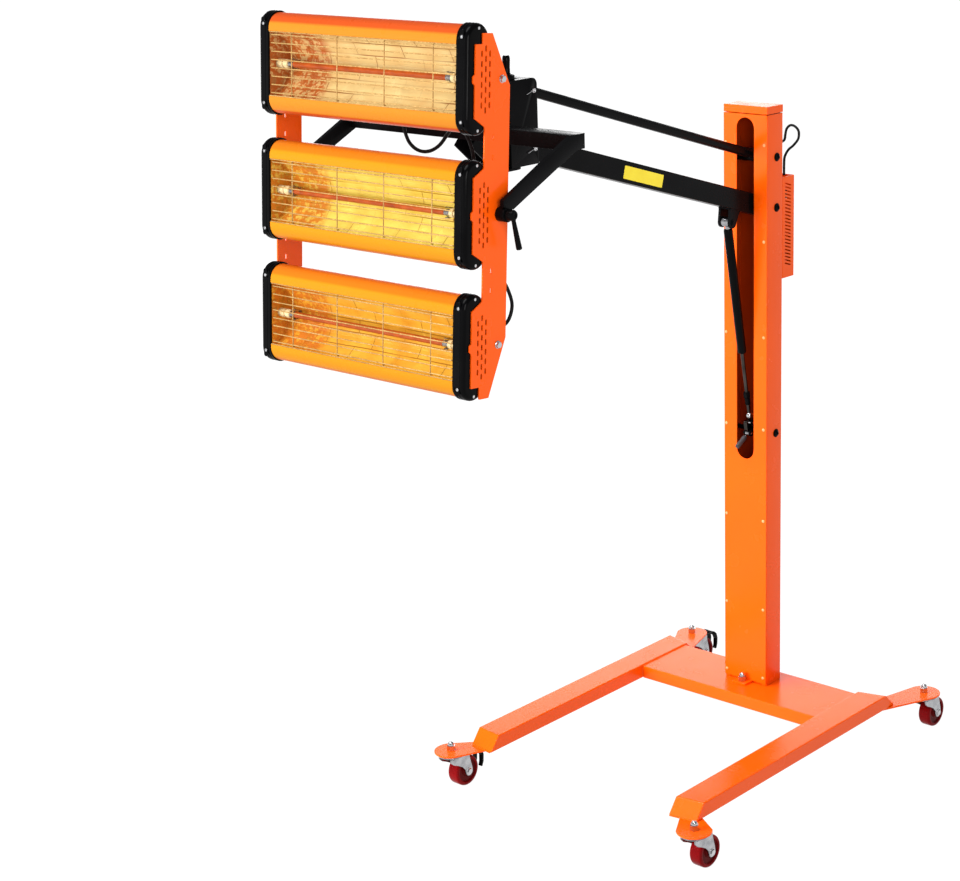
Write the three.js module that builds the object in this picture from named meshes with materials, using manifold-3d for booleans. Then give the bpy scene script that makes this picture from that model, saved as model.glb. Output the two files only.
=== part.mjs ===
// Infrared paint curing lamp: three cassettes on a parallelogram arm, a column and an H-shaped base on
// casters. Millimetres, +Z up. The model is drawn with x = 0 on its middle plane, y = 0 on the column's
// front face (the lamps look towards -y) and z = 0 on the floor. The last lines centre it over its own
// footprint.
import * as THREE from 'three';
import { mergeVertices } from 'three/addons/utils/BufferGeometryUtils.js';
import Module from 'manifold-3d';

const wasm = await Module();
wasm.setup();

// Shared by all pieces
const degree = Math.PI / 180;
const touch = 0.3; // gap between two pieces that touch
const bite = 0.5; // how far a welded piece reaches into its neighbour
const overrun = 3; // how far a cutter passes the face that it leaves
const boreClearance = 0.3; // on the radius, round every pin
const roundSides = 16;
const smallSides = 12;
const nutSides = 6;
const wireSides = 6;
const arcSteps = 6; // of each arc in an outline
const fineArcSteps = 10;
const coarseArcSteps = 3;

// Legs: rectangular tubes with mitred ends
const legWidth = 60;
const legHeight = 30;
const legSpread = 447; // between the legs' inner faces
const legFrontReach = 548; // lower front edge, ahead of the column's face
const legRearReach = 128.5;
const legFrontMitre = 24;
const legRearMitre = 31.5;
const legFrontSkew = 8; // how much further back the outer side is, across the width
const legRearSkew = 16;
const tubeWall = 2.5;
const legEndWall = 4;
const drainRadius = 4;
const drainY = -200;

// Caster plates under the legs' ends, with the casters' studs
const padThickness = 3.5;
const padRadius = 34;
const padNutX = 298;
const padLeftNutYs = [-588, 205]; // front and rear
const padRightNutYs = [-570, 229];
const padFrontRoot = 505; // where the front plate starts under the leg, ahead of the column's face
const padRearRoot = 82;
const nutFlats = 15;
const nutHeight = 12.5;
const domeRadius = 6.5;
const studRadius = 6;
const studHeadRadius = 10;
const studHeadHeight = 4;

// Casters
const wheelRadius = 32;
const wheelWidth = 27;
const wheelChamfer = 4.5;
const wheelSides = 28;
const axleRadius = 4;
const axleHeadRadius = 7;
const axleHeadLength = 3;
const casterHeight = 81.5; // floor to the underside of the caster plate
const casterTrail = 32;
const crownRadius = 29;
const crownLowerRadius = 23;
const crownThickness = 8;
const forkGap = 1.5;
const forkWall = 2.5;
const forkRootFront = 20;
const forkRootRear = 29;
const forkEndRadius = 10;
const forkEndAngle = 216 * degree; // where the round end meets the cheek's front edge

// Brake pedals of the left casters
const pedalHingeY = 24; // behind the caster's stud
const pedalHingeDrop = 5; // below the crown
const pedalBarrelRadius = 3;
const pedalReach = 40;
const pedalThickness = 2.5;
const pedalLip = 8;

// Cross beam between the legs
const beamFront = -67;
const beamDepth = 151;
const beamHeight = 27;

// Column
const columnWidth = 105;
const columnDepth = 54;
const columnTop = 1323;
const columnWall = 2;
const capHeight = 16;
const flangeWidth = 12;
const footThickness = 4;
const footTabWidth = 34;
const footTabReach = 24;
const footNutY = -11;
const slotWidth = 42;
const slotTop = columnTop - 23.4;

// Control box on the column's back
const boxDepth = 40;
const boxInset = 0.5; // from the column's side
const boxHeight = 204;
const boxTop = columnTop - 144;
const boxBottom = boxTop - boxHeight;
const boxWall = 1.5;
const ventCount = 24;
const ventPitch = 7;
const ventLength = 20;
const ventHeight = 3;
const ventTopMargin = 16;
const glandRadius = 10;
const glandLength = 14;
const switchWidth = 14; // the opening in the cover
const switchHeight = 20;
const switchPitch = 28;
const switchTopMargin = 40;
const switchClearance = 0.8;
const switchProud = 3;
const switchDepth = 9;

// Parallelogram arm
const pivotDepth = 32.8; // behind the column's face
const armPivotZ = columnTop - 200.8;
const linkSpacing = 100;
const armLength = 705;
const armAngle = 16.6 * degree;
const armWidth = 30;
const armHeight = 40;
const armWall = 2;
const armOverhang = 8;
const armBossRadius = 11;
const linkRadius = 9;
const linkEyeRadius = 13;
const columnPinRadius = 5;
const pinHeadRadius = 8.5;
const pinHeadLength = 6;
const bracketPinRadius = 4;
const bossClearance = 0.8; // beside the column's walls

// Gas spring
const clevisAlong = 83.4; // from the arm's pivot, along the arm
const clevisDrop = 45.6; // below the arm's middle line
const clevisGap = 18;
const clevisWall = 4;
const clevisRadius = 9;
const clevisRoot = 16;
const springEyeRadius = 9.5;
const springPinRadius = 4;
const springPinOverhang = 4;
const barrelRadius = 9;
const barrelLength = 265;
const barrelStart = 14;
const boreDepth = 230;
const rodRadius = 4;
const rodInside = 120;
const rodNutRadius = 7.5;
const rodNutLength = 12;
const rodNutAbove = 62; // middle of the nut, above the lower pivot
const rodHeadHalfWidth = 4;
const rodHeadWall = 3;
const slackFront = 10.5; // room for the lower pivot in the rod's head, on each side
const slackBack = 3.5;
const slackBelow = 6.5;
const slackAbove = 2;
const anchorY = 17; // lower pivot of the gas spring
const anchorZ = armPivotZ - 446.2;
const slotBottom = anchorZ - 73.5;
const anchorPinRadius = 3;
const anchorBoltZ = anchorZ - 17.6;
const anchorBoltY = 32.8;
const anchorBoltRadius = 5;
const anchorGap = 10;
const anchorWall = 3;
const anchorRadius = 6;
const leverY = 10;
const leverZ = anchorZ - 21;
const leverPinRadius = 2;
const leverEyeRadius = 4.5;
const leverRadius = 5;
const leverLength = 44;
const leverAngle = 29 * degree;

// Head bracket at the front of the links, with the swivel barrel
const bracketWidth = 40;
const bracketWall = 2.5;
const bracketRearMargin = 9; // behind the pivots
const bracketBelow = 26.6; // below the arm's front pivot
const bracketAbove = 21.8; // above the link's front pivot
const bracketCorner = 12;
const swivelAhead = 45.2; // of the pivots
const barrelOuter = 14;
const postRadius = 8;
const knobRadius = 14;
const knobBase = 8;
const knobStemRadius = 6.25;
const knobTipRadius = 4.375;
const knobHeight = 40.6;
const knobStudRadius = 4;
const knobStudLength = 16;

// Yoke between the swivel post and the head
const carrierPlate = 4;
const carrierGap = 16; // between the swivel barrel and the carrier's walls
const carrierLowY = 82; // ahead of the post: the lower edge bends up here
const carrierLowRise = 26;
const carrierTipY = 115;
const carrierTipRise = 54;
const carrierStep = 1; // from the crossbar's top down to the carrier's
const crossbarBack = 98.7; // rear face, ahead of the post
const crossbarDepth = 35;
const crossbarHeight = 25;
const crossbarRise = 63.4; // top, above the arm's front pivot
const yokeArmThickness = 8;
const yokeArmRoot = 18.5; // of the arm's lower edge, ahead of the crossbar's rear face
const yokeArmEdge = 1.5; // of the arm's upper edge, below the crossbar's top
const yokeArmLap = 8; // how far the arms are let into the crossbar
const yokeTip = [[12, 6.5], [-9.5, 12.7], [-10, 23.3]]; // back and up from the tilt pivot, lower edge first
const cableHoleRadius = 5;

// Head: tilt pivot, and the pieces in the head's own frame (x, back, up) round that pivot
const yokeReach = 285.3; // from the swivel post to the tilt pivot
const tiltDrop = 40.6; // below the arm's front pivot
const headTilt = 4.2 * degree;
const cassettePitch = 207;
const cassetteLength = 419.4;
const housingHeight = 164;
const housingDepth = 50;
const housingFront = 75; // ahead of the tilt pivot
const housingWall = 1.8;
const mouthMargin = 29.5; // housing above and below its mouth
const capThickness = 23.4;
const capOversize = 8; // in height, over the housing
const capOverdepth = 4;
const capBevel = 7;

// Reflector, lamp tube and wire guard
const reflectorWall = 1;
const reflectorGap = 0.6;
const reflectorDepth = 40;
const reflectorShares = [[0, 1], [0.3, 0.92], [0.64, 0.7], [0.88, 0.42], [1, 0.16]];
const tubeRadius = 5.5;
const ceramicRadius = 7.5;
const ceramicLength = 24;
const lampSetback = 22; // behind the housing's front
const guardWire = 1.25;
const guardRows = 8;
const guardColumns = 4;
const guardSetback = 1.6;
const guardEdge = 5.6; // outer wires, inside the mouth
const guardSideEdge = 50.7; // outer upright wires, inside the cassette's ends
const guardLap = 0.6; // how deep crossing wires are welded into each other
const guardBarClearance = 1.5; // at the ends of the upright wires

// Side plates
const plateGap = 0.3; // outside the end caps
const plateThickness = 2.5;
const plateBack = 18.5;
const plateFront = 60;
const plateNeck = 37;
const plateTop = 69.5; // above the top cassette's middle
const plateTopInner = 22.5;
const plateTopOuter = 44;
const plateShoulderTop = 53;
const plateWide = 58.3; // half height of each wide stretch, where it faces another cassette
const plateNeckEdge = 72; // where the neck starts, from a cassette's middle
const plateFoot = 83; // below the bottom cassette's middle
const plateFootInner = 19.4;
const plateFootOuter = 41;
const plateShoulderFoot = 63;
const plateRearCut = 10; // the rear edge ends this far before the outer cassettes' middles
const plateTab = 4.5;
const plateTabHalf = 8;
const plateSlotWidth = 3;
const plateSlotHeight = 10;
const plateSlotPitch = 15.5;
const plateSlotColumns = [43.5, 36, 28]; // ahead of the pivot
const plateSlotRows = 7;
const neckHoleAhead = 18;
const neckHoleOffset = 15.5; // from the middle between two cassettes
const tieRadius = 6;
const tieBoltRadius = 3;
const tieHeadRadius = 6.5;
const tieHeadLength = 5;

// Tilt hubs and clamp levers
const hubRadius = 12;
const hubLength = 10;
const clampStudRadius = 4;
const clampNutRadius = 8;
const clampNutLength = 6;
const clampHubRadius = 9;
const clampHubEndRadius = 8;
const clampHubLength = 13;
const clampLeverRadius = 4.8;
const clampLeverLength = 57;
const clampLeverAngle = 13.5 * degree; // from straight down, towards the back

// Cables: the points are chosen by hand
const cableRadius = 2.6;
const cableSteps = 28;
const harnessRadius = 3;
const harnessSteps = 56;
const columnCableX = 40;
const columnCableHoleZ = columnTop - 76.5;
const columnCableRoute = [ // back from the column's face, and up from the cable's hole
  [54.4, 0], [66, 0], [77, 3.5], [80, 13.5], [84, 23.5], [96, 29.1], [113, 25], [126, 13.5],
  [125, -0.5], [108, -12], [90, -19], [78, -31], [76, -46.5], [76, -67.2],
];
const harnessRoute = [
  [14, -24.4, 158], [14, -14, 158], [14, 0, 148], [15, 8, 126], [19, 10, 103], [28, 10, 82], [42, 10, 70],
  [58, 10, 65.5], [76, 10, 69], [93, 10, 80], [104, 10, 94], [114, 9, 111], [130, 6, 124], [152, 6, 120],
  [168, 6, 98], [174, 8, 70], [176, 8, 40], [178, 8, 0], [184, 10, -44], [192, 22, -80], [198, 44, -106],
  [200, 62, -130], [200, 73, -158], [200, 63, -182], [199, 42, -190], [196, 18, -186], [194, -4, -184],
  [193, -14, -184], [193, -24.4, -184],
];

// Materials
function paint(color, roughness, metalness) {
  return new THREE.MeshStandardMaterial({ color, roughness, metalness, flatShading: true });
}
const orange = paint(0xf0581c, 0.42, 0.1);
const black = paint(0x17181a, 0.45, 0.2);
const zinc = paint(0xb9bdc2, 0.35, 0.9);
const red = paint(0xa01018, 0.35, 0);
const aluminium = paint(0xd9dadc, 0.2, 0.95);
const steelWire = paint(0xc9ccd0, 0.3, 0.9);
const quartz = paint(0xf3ead8, 0.1, 0);
const rubber = paint(0x101113, 0.7, 0);
const plastic = paint(0x1b1c1f, 0.5, 0);

// One closed skin from a geometry: shared corners merged, faces pointing out
function weld(geometry) {
  const bare = geometry.clone();
  bare.deleteAttribute('normal');
  bare.deleteAttribute('uv');
  const merged = mergeVertices(bare, 1e-4);
  const place = merged.getAttribute('position');
  const kept = [];
  const a = new THREE.Vector3();
  const b = new THREE.Vector3();
  const c = new THREE.Vector3();
  let volume = 0;
  for (let i = 0; i < merged.index.count; i += 3) {
    const corner = [0, 1, 2].map((k) => merged.index.getX(i + k));
    if (new Set(corner).size < 3) continue;
    a.fromBufferAttribute(place, corner[0]);
    b.fromBufferAttribute(place, corner[1]);
    c.fromBufferAttribute(place, corner[2]);
    volume += a.dot(b.cross(c));
    kept.push(corner);
  }
  const facing = volume < 0 ? kept.map(([p, q, r]) => [p, r, q]) : kept;
  const skin = new THREE.BufferGeometry();
  skin.setAttribute('position', place.clone());
  skin.setIndex(facing.flat());
  return skin;
}

function solid(geometry) {
  const skin = weld(geometry);
  return new wasm.Manifold(new wasm.Mesh({
    numProp: 3,
    vertProperties: new Float32Array(skin.getAttribute('position').array),
    triVerts: new Uint32Array(skin.index.array),
  }));
}

function geometryOf(manifold) {
  const mesh = manifold.getMesh();
  const geometry = new THREE.BufferGeometry();
  geometry.setAttribute('position', new THREE.BufferAttribute(Float32Array.from(mesh.vertProperties), 3));
  geometry.setIndex(Array.from(mesh.triVerts));
  return geometry;
}

// Joins the first list of geometries and cuts the second list out of them
function build(joined, cut = []) {
  let body = solid(joined[0]);
  for (const piece of joined.slice(1)) body = body.add(solid(piece));
  for (const piece of cut) body = body.subtract(solid(piece));
  return geometryOf(body);
}

// Blocks, round bars and turned shapes
function block(x0, x1, y0, y1, z0, z1) {
  const geometry = new THREE.BoxGeometry(x1 - x0, y1 - y0, z1 - z0);
  return geometry.translate((x0 + x1) / 2, (y0 + y1) / 2, (z0 + z1) / 2);
}

function barX(radius, x0, x1, y, z, sides = roundSides) {
  const geometry = new THREE.CylinderGeometry(radius, radius, x1 - x0, sides);
  return geometry.rotateZ(Math.PI / 2).translate((x0 + x1) / 2, y, z);
}

function barZ(radius, z0, z1, x, y, sides = roundSides) {
  const geometry = new THREE.CylinderGeometry(radius, radius, z1 - z0, sides);
  return geometry.rotateX(Math.PI / 2).translate(x, y, (z0 + z1) / 2);
}

function barY(radius, y0, y1, x, z, sides = roundSides) {
  const geometry = new THREE.CylinderGeometry(radius, radius, y1 - y0, sides);
  return geometry.translate(x, (y0 + y1) / 2, z);
}

// A bar between two points of a side view, at the middle plane or at x
function barBetween(radius, y0, z0, y1, z1, x = 0, sides = smallSides) {
  const length = Math.hypot(y1 - y0, z1 - z0);
  const geometry = new THREE.CylinderGeometry(radius, radius, length, sides);
  geometry.rotateX(Math.atan2(z1 - z0, y1 - y0));
  return geometry.translate(x, (y0 + y1) / 2, (z0 + z1) / 2);
}

// A profile of [radius, place along the axis], turned round X or Z
function turnedX(profile, sides = roundSides) {
  const points = profile.map(([radius, along]) => new THREE.Vector2(radius, along));
  return new THREE.LatheGeometry(points, sides).rotateZ(-Math.PI / 2);
}

function turnedZ(profile, sides = roundSides) {
  const points = profile.map(([radius, along]) => new THREE.Vector2(radius, along));
  return new THREE.LatheGeometry(points, sides).rotateX(Math.PI / 2);
}

function outline(points) {
  return new THREE.Shape(points.map(([u, v]) => new THREE.Vector2(u, v)));
}

// A side view (y to the right, z up) given a thickness along x, from x0 to x1
function sideCut(shape, x0, x1, curveSegments = arcSteps) {
  const geometry = new THREE.ExtrudeGeometry(shape, { depth: x1 - x0, bevelEnabled: false, curveSegments });
  const turn = new THREE.Matrix4().makeBasis(
    new THREE.Vector3(0, 1, 0), new THREE.Vector3(0, 0, 1), new THREE.Vector3(1, 0, 0));
  return geometry.applyMatrix4(turn).translate(x0, 0, 0);
}

// A plan view (x, y) given a height from z0 to z1
function planCut(shape, z0, z1, curveSegments = arcSteps) {
  const geometry = new THREE.ExtrudeGeometry(shape, { depth: z1 - z0, bevelEnabled: false, curveSegments });
  return geometry.translate(0, 0, z0);
}

// The outline of a strap round two circles of a side view or a plan view
function strap(u0, v0, r0, u1, v1, r1) {
  const angle = Math.atan2(v1 - v0, u1 - u0);
  const spread = Math.acos((r0 - r1) / Math.hypot(u1 - u0, v1 - v0));
  const shape = new THREE.Shape();
  shape.absarc(u0, v0, r0, angle + spread, angle - spread + 2 * Math.PI, false);
  shape.absarc(u1, v1, r1, angle - spread, angle + spread, false);
  return shape;
}

// A stadium with upright sides
function stadium(width, height, Kind = THREE.Shape, u = 0, v = 0) {
  const radius = width / 2;
  const straight = height / 2 - radius;
  const shape = new Kind();
  shape.absarc(u, v + straight, radius, 0, Math.PI, false);
  shape.absarc(u, v - straight, radius, Math.PI, 2 * Math.PI, false);
  return shape;
}

function tube(points, radius, steps, sides = 8) {
  const corners = points.map(([x, y, z]) => new THREE.Vector3(x, y, z));
  const route = new THREE.CatmullRomCurve3(corners, false, 'centripetal');
  const section = new THREE.Shape();
  for (let k = 0; k < sides; k += 1) {
    const angle = (2 * Math.PI * k) / sides;
    const corner = [radius * Math.cos(angle), radius * Math.sin(angle)];
    if (k === 0) section.moveTo(...corner);
    else section.lineTo(...corner);
  }
  return new THREE.ExtrudeGeometry(section, { steps, extrudePath: route, bevelEnabled: false });
}

function place(parent, name, geometry, material) {
  const mesh = new THREE.Mesh(weld(geometry), material);
  mesh.name = name;
  parent.add(mesh);
  return mesh;
}

function groupAt(parent, x, y, z, turnX = 0) {
  const group = new THREE.Group();
  group.position.set(x, y, z);
  group.rotation.x = turnX;
  parent.add(group);
  return group;
}

const lamp = new THREE.Group();
lamp.name = 'infrared_paint_curing_lamp';
const sides = [['left', -1], ['right', 1]];

// Base: legs with their caster plates, and the cross beam
const legUnderside = casterHeight + padThickness;
const legTop = legUnderside + legHeight;
const legMiddle = legSpread / 2 + legWidth / 2;
const crownTop = casterHeight - touch;
const crownBottom = crownTop - crownThickness;

function legBar(width, bottom, top, inset) {
  const rise = legTop - legUnderside;
  const front = (z) => -legFrontReach + inset + (legFrontMitre * (z - legUnderside)) / rise;
  const rear = (z) => legRearReach - inset - (legRearMitre * (z - legUnderside)) / rise;
  const view = outline([[front(bottom), bottom], [rear(bottom), bottom],
    [rear(top), top], [front(top), top]]);
  return sideCut(view, -width / 2, width / 2);
}

function skewEnds(geometry, side) {
  const corners = geometry.getAttribute('position');
  for (let i = 0; i < corners.count; i += 1) {
    const skew = corners.getY(i) < 0 ? legFrontSkew : legRearSkew;
    corners.setY(i, corners.getY(i) + (skew * side * corners.getX(i)) / legWidth);
  }
  return geometry.translate(side * legMiddle, 0, 0);
}

function domeNut(x, y, z) {
  const hex = barZ(nutFlats / Math.sqrt(3), z, z + nutHeight, x, y, nutSides);
  const dome = turnedZ([[0, z], [domeRadius, z], [domeRadius, z + nutHeight],
    [domeRadius * Math.cos(Math.PI / 4), z + nutHeight + domeRadius * Math.sin(Math.PI / 4)],
    [0, z + nutHeight + domeRadius]], smallSides).translate(x, y, 0);
  return [hex, dome];
}

function casterPad(side, nutY, rootY) {
  const x = side * padNutX;
  const half = legWidth / 2;
  const toNut = Math.sign(nutY);
  const away = Math.atan2(nutY - rootY, x - side * legMiddle);
  const shape = new THREE.Shape();
  shape.absarc(x, nutY, padRadius, away - Math.PI / 2, away + Math.PI / 2, false);
  shape.lineTo(side * legMiddle - half * toNut, rootY);
  shape.lineTo(side * legMiddle + half * toNut, rootY);
  const plate = planCut(shape, casterHeight, legUnderside + bite, fineArcSteps);
  const headTop = crownBottom - touch;
  const stud = barZ(studRadius, headTop - studHeadHeight, legUnderside + nutHeight, x, nutY, smallSides);
  const head = barZ(studHeadRadius, headTop - studHeadHeight, headTop, x, nutY, smallSides);
  return [plate, stud, head, ...domeNut(x, nutY, legUnderside)];
}

const padNutYs = { left: padLeftNutYs, right: padRightNutYs };
for (const [name, side] of sides) {
  const outer = skewEnds(legBar(legWidth, legUnderside, legTop, 0), side);
  const hollow = legBar(legWidth - 2 * tubeWall, legUnderside + tubeWall, legTop - tubeWall, legEndWall);
  const inner = skewEnds(hollow, side);
  const drain = barZ(drainRadius, legUnderside - overrun, legUnderside + tubeWall + overrun,
    side * legMiddle, drainY, smallSides);
  const padRoots = [-padFrontRoot, padRearRoot];
  const pads = padNutYs[name].flatMap((nutY, end) => casterPad(side, nutY, padRoots[end]));
  place(lamp, `${name}_leg`, build([outer, ...pads], [inner, drain]), orange);
}

const beamHalf = legSpread / 2 - touch;
const beamTop = legUnderside + beamHeight;
const beamBack = beamFront + beamDepth;
place(lamp, 'cross_beam', build(
  [block(-beamHalf, beamHalf, beamFront, beamBack, legUnderside, beamTop)],
  [block(-beamHalf + tubeWall, beamHalf - tubeWall, beamFront + tubeWall, beamBack - tubeWall,
    legUnderside + tubeWall, beamTop - tubeWall),
  barZ(drainRadius, legUnderside - overrun, legUnderside + tubeWall + overrun,
    0, (beamFront + beamBack) / 2, smallSides)],
), orange);

// Casters
function forkGeometry() {
  const crown = turnedZ([[0, crownBottom], [crownLowerRadius, crownBottom],
    [crownRadius, crownBottom + crownThickness / 2], [crownRadius, crownTop], [0, crownTop]]);
  const inside = wheelWidth / 2 + forkGap;
  const outside = inside + forkWall;
  const cheek = new THREE.Shape();
  cheek.absarc(casterTrail, wheelRadius, forkEndRadius, forkEndAngle, 2 * Math.PI, false);
  cheek.lineTo(forkRootRear, crownBottom + bite);
  cheek.lineTo(-forkRootFront, crownBottom + bite);
  const cheeks = [[-outside, -inside], [inside, outside]].map(([x0, x1]) => sideCut(cheek, x0, x1));
  const axle = barX(axleRadius, -outside, outside, casterTrail, wheelRadius, smallSides);
  const heads = [[-outside - axleHeadLength, -outside + bite], [outside - bite, outside + axleHeadLength]]
    .map(([x0, x1]) => barX(axleHeadRadius, x0, x1, casterTrail, wheelRadius, nutSides));
  const bore = barZ(studRadius + boreClearance, crownBottom - overrun, crownTop + overrun, 0, 0, smallSides);
  return build([crown, ...cheeks, axle, ...heads], [bore]);
}

function wheelGeometry() {
  const half = wheelWidth / 2;
  const bore = axleRadius + boreClearance;
  const rim = wheelRadius - wheelChamfer;
  const profile = [[bore, -half], [rim, -half], [wheelRadius, -half + wheelChamfer],
    [wheelRadius, half - wheelChamfer], [rim, half], [bore, half], [bore, -half]];
  return turnedX(profile, wheelSides).rotateX(Math.PI / wheelSides).translate(0, casterTrail, wheelRadius);
}

function pedalGeometry() {
  const z = crownBottom - pedalHingeDrop;
  const half = wheelWidth / 2 + forkGap - touch;
  const barrel = barX(pedalBarrelRadius, -half, half, pedalHingeY, z, smallSides);
  const tip = pedalHingeY + pedalReach;
  const tab = outline([[pedalHingeY, z], [tip, z], [tip + pedalLip, z - pedalLip],
    [tip + pedalLip, z - pedalLip + pedalThickness], [tip, z + pedalThickness],
    [pedalHingeY, z + pedalThickness]]);
  return build([barrel, sideCut(tab, -half, half)]);
}

for (const [sideName, side] of sides) {
  ['front', 'rear'].forEach((endName, end) => {
    const name = `${endName}_${sideName}`;
    const caster = groupAt(lamp, side * padNutX, padNutYs[sideName][end], 0);
    place(caster, `${name}_caster_fork`, forkGeometry(), zinc);
    place(caster, `${name}_caster_wheel`, wheelGeometry(), red);
    if (side < 0) place(caster, `${name}_brake_pedal`, pedalGeometry(), black);
  });
}

// Column
const halfColumn = columnWidth / 2;
const panelBack = columnWall;
const shellFront = panelBack + touch;
const shellBottom = beamTop + touch;
const shellTop = columnTop - capHeight - touch;
const linkPivotZ = armPivotZ + linkSpacing;

function columnHole(radius, y, z) {
  return barX(radius + boreClearance, -halfColumn - overrun, halfColumn + overrun, y, z, smallSides);
}

function columnShell() {
  const inside = halfColumn - columnWall;
  const lip = halfColumn - flangeWidth;
  const lipBack = shellFront + columnWall;
  const insideBack = columnDepth - columnWall;
  const view = outline([[-halfColumn, shellFront], [-lip, shellFront], [-lip, lipBack], [-inside, lipBack],
    [-inside, insideBack], [inside, insideBack], [inside, lipBack], [lip, lipBack], [lip, shellFront],
    [halfColumn, shellFront], [halfColumn, columnDepth], [-halfColumn, columnDepth]]);
  const walls = planCut(view, shellBottom, shellTop);
  const foot = block(-inside - bite, inside + bite, shellFront, columnDepth - bite,
    shellBottom, shellBottom + footThickness);
  const tab = block(-footTabWidth / 2, footTabWidth / 2, -footTabReach, shellFront + bite,
    shellBottom, shellBottom + footThickness);
  const nut = domeNut(0, footNutY, shellBottom + footThickness - bite);
  return build([walls, foot, tab, ...nut], [
    columnHole(columnPinRadius, pivotDepth, armPivotZ),
    columnHole(columnPinRadius, pivotDepth, linkPivotZ),
    columnHole(anchorBoltRadius, anchorBoltY, anchorBoltZ),
    barY(cableRadius + boreClearance, columnDepth - columnWall - overrun, columnDepth + overrun,
      columnCableX, columnCableHoleZ, smallSides),
  ]);
}
place(lamp, 'column_shell', columnShell(), orange);

function frontPanel() {
  const bottom = shellBottom + footThickness + touch;
  const shape = outline([[-halfColumn, bottom], [halfColumn, bottom],
    [halfColumn, shellTop], [-halfColumn, shellTop]]);
  shape.holes.push(stadium(slotWidth, slotTop - slotBottom, THREE.Path, 0, (slotTop + slotBottom) / 2));
  const flat = new THREE.ExtrudeGeometry(shape, {
    depth: columnWall, bevelEnabled: false, curveSegments: fineArcSteps,
  });
  return flat.rotateX(Math.PI / 2).translate(0, columnWall, 0);
}
place(lamp, 'column_front_panel', frontPanel(), orange);

const capBottom = columnTop - capHeight;
place(lamp, 'column_cap', build(
  [block(-halfColumn, halfColumn, 0, columnDepth, capBottom, columnTop)],
  [block(-halfColumn + columnWall, halfColumn - columnWall, columnWall, columnDepth - columnWall,
    capBottom - overrun, columnTop - columnWall)],
), orange);

// Control box
const boxHalf = halfColumn - boxInset;
const boxFront = columnDepth + touch;
const boxBack = columnDepth + boxDepth;
const coverFront = boxBack - boxWall;
const switchZ = boxTop - switchTopMargin;

function controlBoxShell() {
  const shell = block(-boxHalf, boxHalf, boxFront, coverFront - touch, boxBottom, boxTop);
  const inside = block(-boxHalf + boxWall, boxHalf - boxWall, boxFront + boxWall, boxBack + overrun,
    boxBottom + boxWall, boxTop - boxWall);
  const middle = boxFront + boxDepth / 2;
  const vents = [];
  for (let k = 0; k < ventCount; k += 1) {
    const z = boxTop - ventTopMargin - k * ventPitch;
    vents.push(block(boxHalf - boxWall - overrun, boxHalf + overrun,
      middle - ventLength / 2, middle + ventLength / 2, z - ventHeight / 2, z + ventHeight / 2));
  }
  const gland = barZ(glandRadius, boxBottom - glandLength, boxBottom + bite, 0, middle, smallSides);
  return build([shell, gland], [inside, ...vents]);
}
place(lamp, 'control_box_shell', controlBoxShell(), orange);

const switchXs = [-switchPitch, 0, switchPitch];
const switchWindows = switchXs.map((x) => block(x - switchWidth / 2, x + switchWidth / 2,
  coverFront - overrun, boxBack + overrun, switchZ - switchHeight / 2, switchZ + switchHeight / 2));
place(lamp, 'control_box_cover', build(
  [block(-boxHalf, boxHalf, coverFront, boxBack, boxBottom, boxTop)], switchWindows), orange);

function rockerGeometry() {
  const half = switchWidth / 2 - touch;
  const tall = switchHeight / 2 - switchClearance;
  const view = outline([[-switchDepth, -tall / 2], [0, -tall], [switchProud, -tall], [switchProud / 2, 0],
    [switchProud, tall], [0, tall], [-switchDepth, tall / 2]]);
  return sideCut(view, -half, half);
}
switchXs.forEach((x, k) => {
  const spot = groupAt(lamp, x, boxBack, switchZ);
  place(spot, `lamp_switch_${k + 1}`, rockerGeometry(), plastic);
});

// Parallelogram arm. In an arm's own frame the pivot is the origin and the arm runs along -y.
const columnInside = halfColumn - columnWall;
const bossHalf = columnInside - bossClearance;
const bracketInside = bracketWidth / 2 - bracketWall;
const eyeHalf = bracketInside - touch;

function pinThrough(radius, halfSpan) {
  const seat = halfSpan + touch;
  const end = seat + pinHeadLength;
  const right = [[radius, seat], [pinHeadRadius, seat], [pinHeadRadius, end], [0, end]];
  const left = [...right].reverse().map(([r, along]) => [r, -along]);
  return turnedX([...left, ...right], smallSides);
}

function mainArm() {
  const front = -armLength - armOverhang;
  const half = armWidth / 2;
  const tall = armHeight / 2;
  const bar = block(-half, half, front, armOverhang, -tall, tall);
  const hollow = block(-half + armWall, half - armWall, front - overrun, armOverhang + overrun,
    -tall + armWall, tall - armWall);
  const rearBoss = barX(armBossRadius, -bossHalf, bossHalf, 0, 0);
  const frontBoss = barX(armBossRadius, -eyeHalf, eyeHalf, -armLength, 0);
  const lug = new THREE.Shape();
  lug.absarc(-clevisAlong, -clevisDrop, clevisRadius, Math.PI, 2 * Math.PI, false);
  lug.lineTo(-clevisAlong + clevisRoot, -tall + bite);
  lug.lineTo(-clevisAlong - clevisRoot, -tall + bite);
  const near = clevisGap / 2;
  const far = near + clevisWall;
  const lugs = [sideCut(lug, -far, -near), sideCut(lug, near, far)];
  const pin = barX(springPinRadius, -far - springPinOverhang, far + springPinOverhang,
    -clevisAlong, -clevisDrop, smallSides);
  const tubeBody = build([bar], [hollow]);
  return build([tubeBody, rearBoss, frontBoss, ...lugs, pin], [
    barX(columnPinRadius + boreClearance, -bossHalf - overrun, bossHalf + overrun, 0, 0, smallSides),
    barX(bracketPinRadius + boreClearance, -eyeHalf - overrun, eyeHalf + overrun, -armLength, 0, smallSides),
  ]);
}

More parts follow.
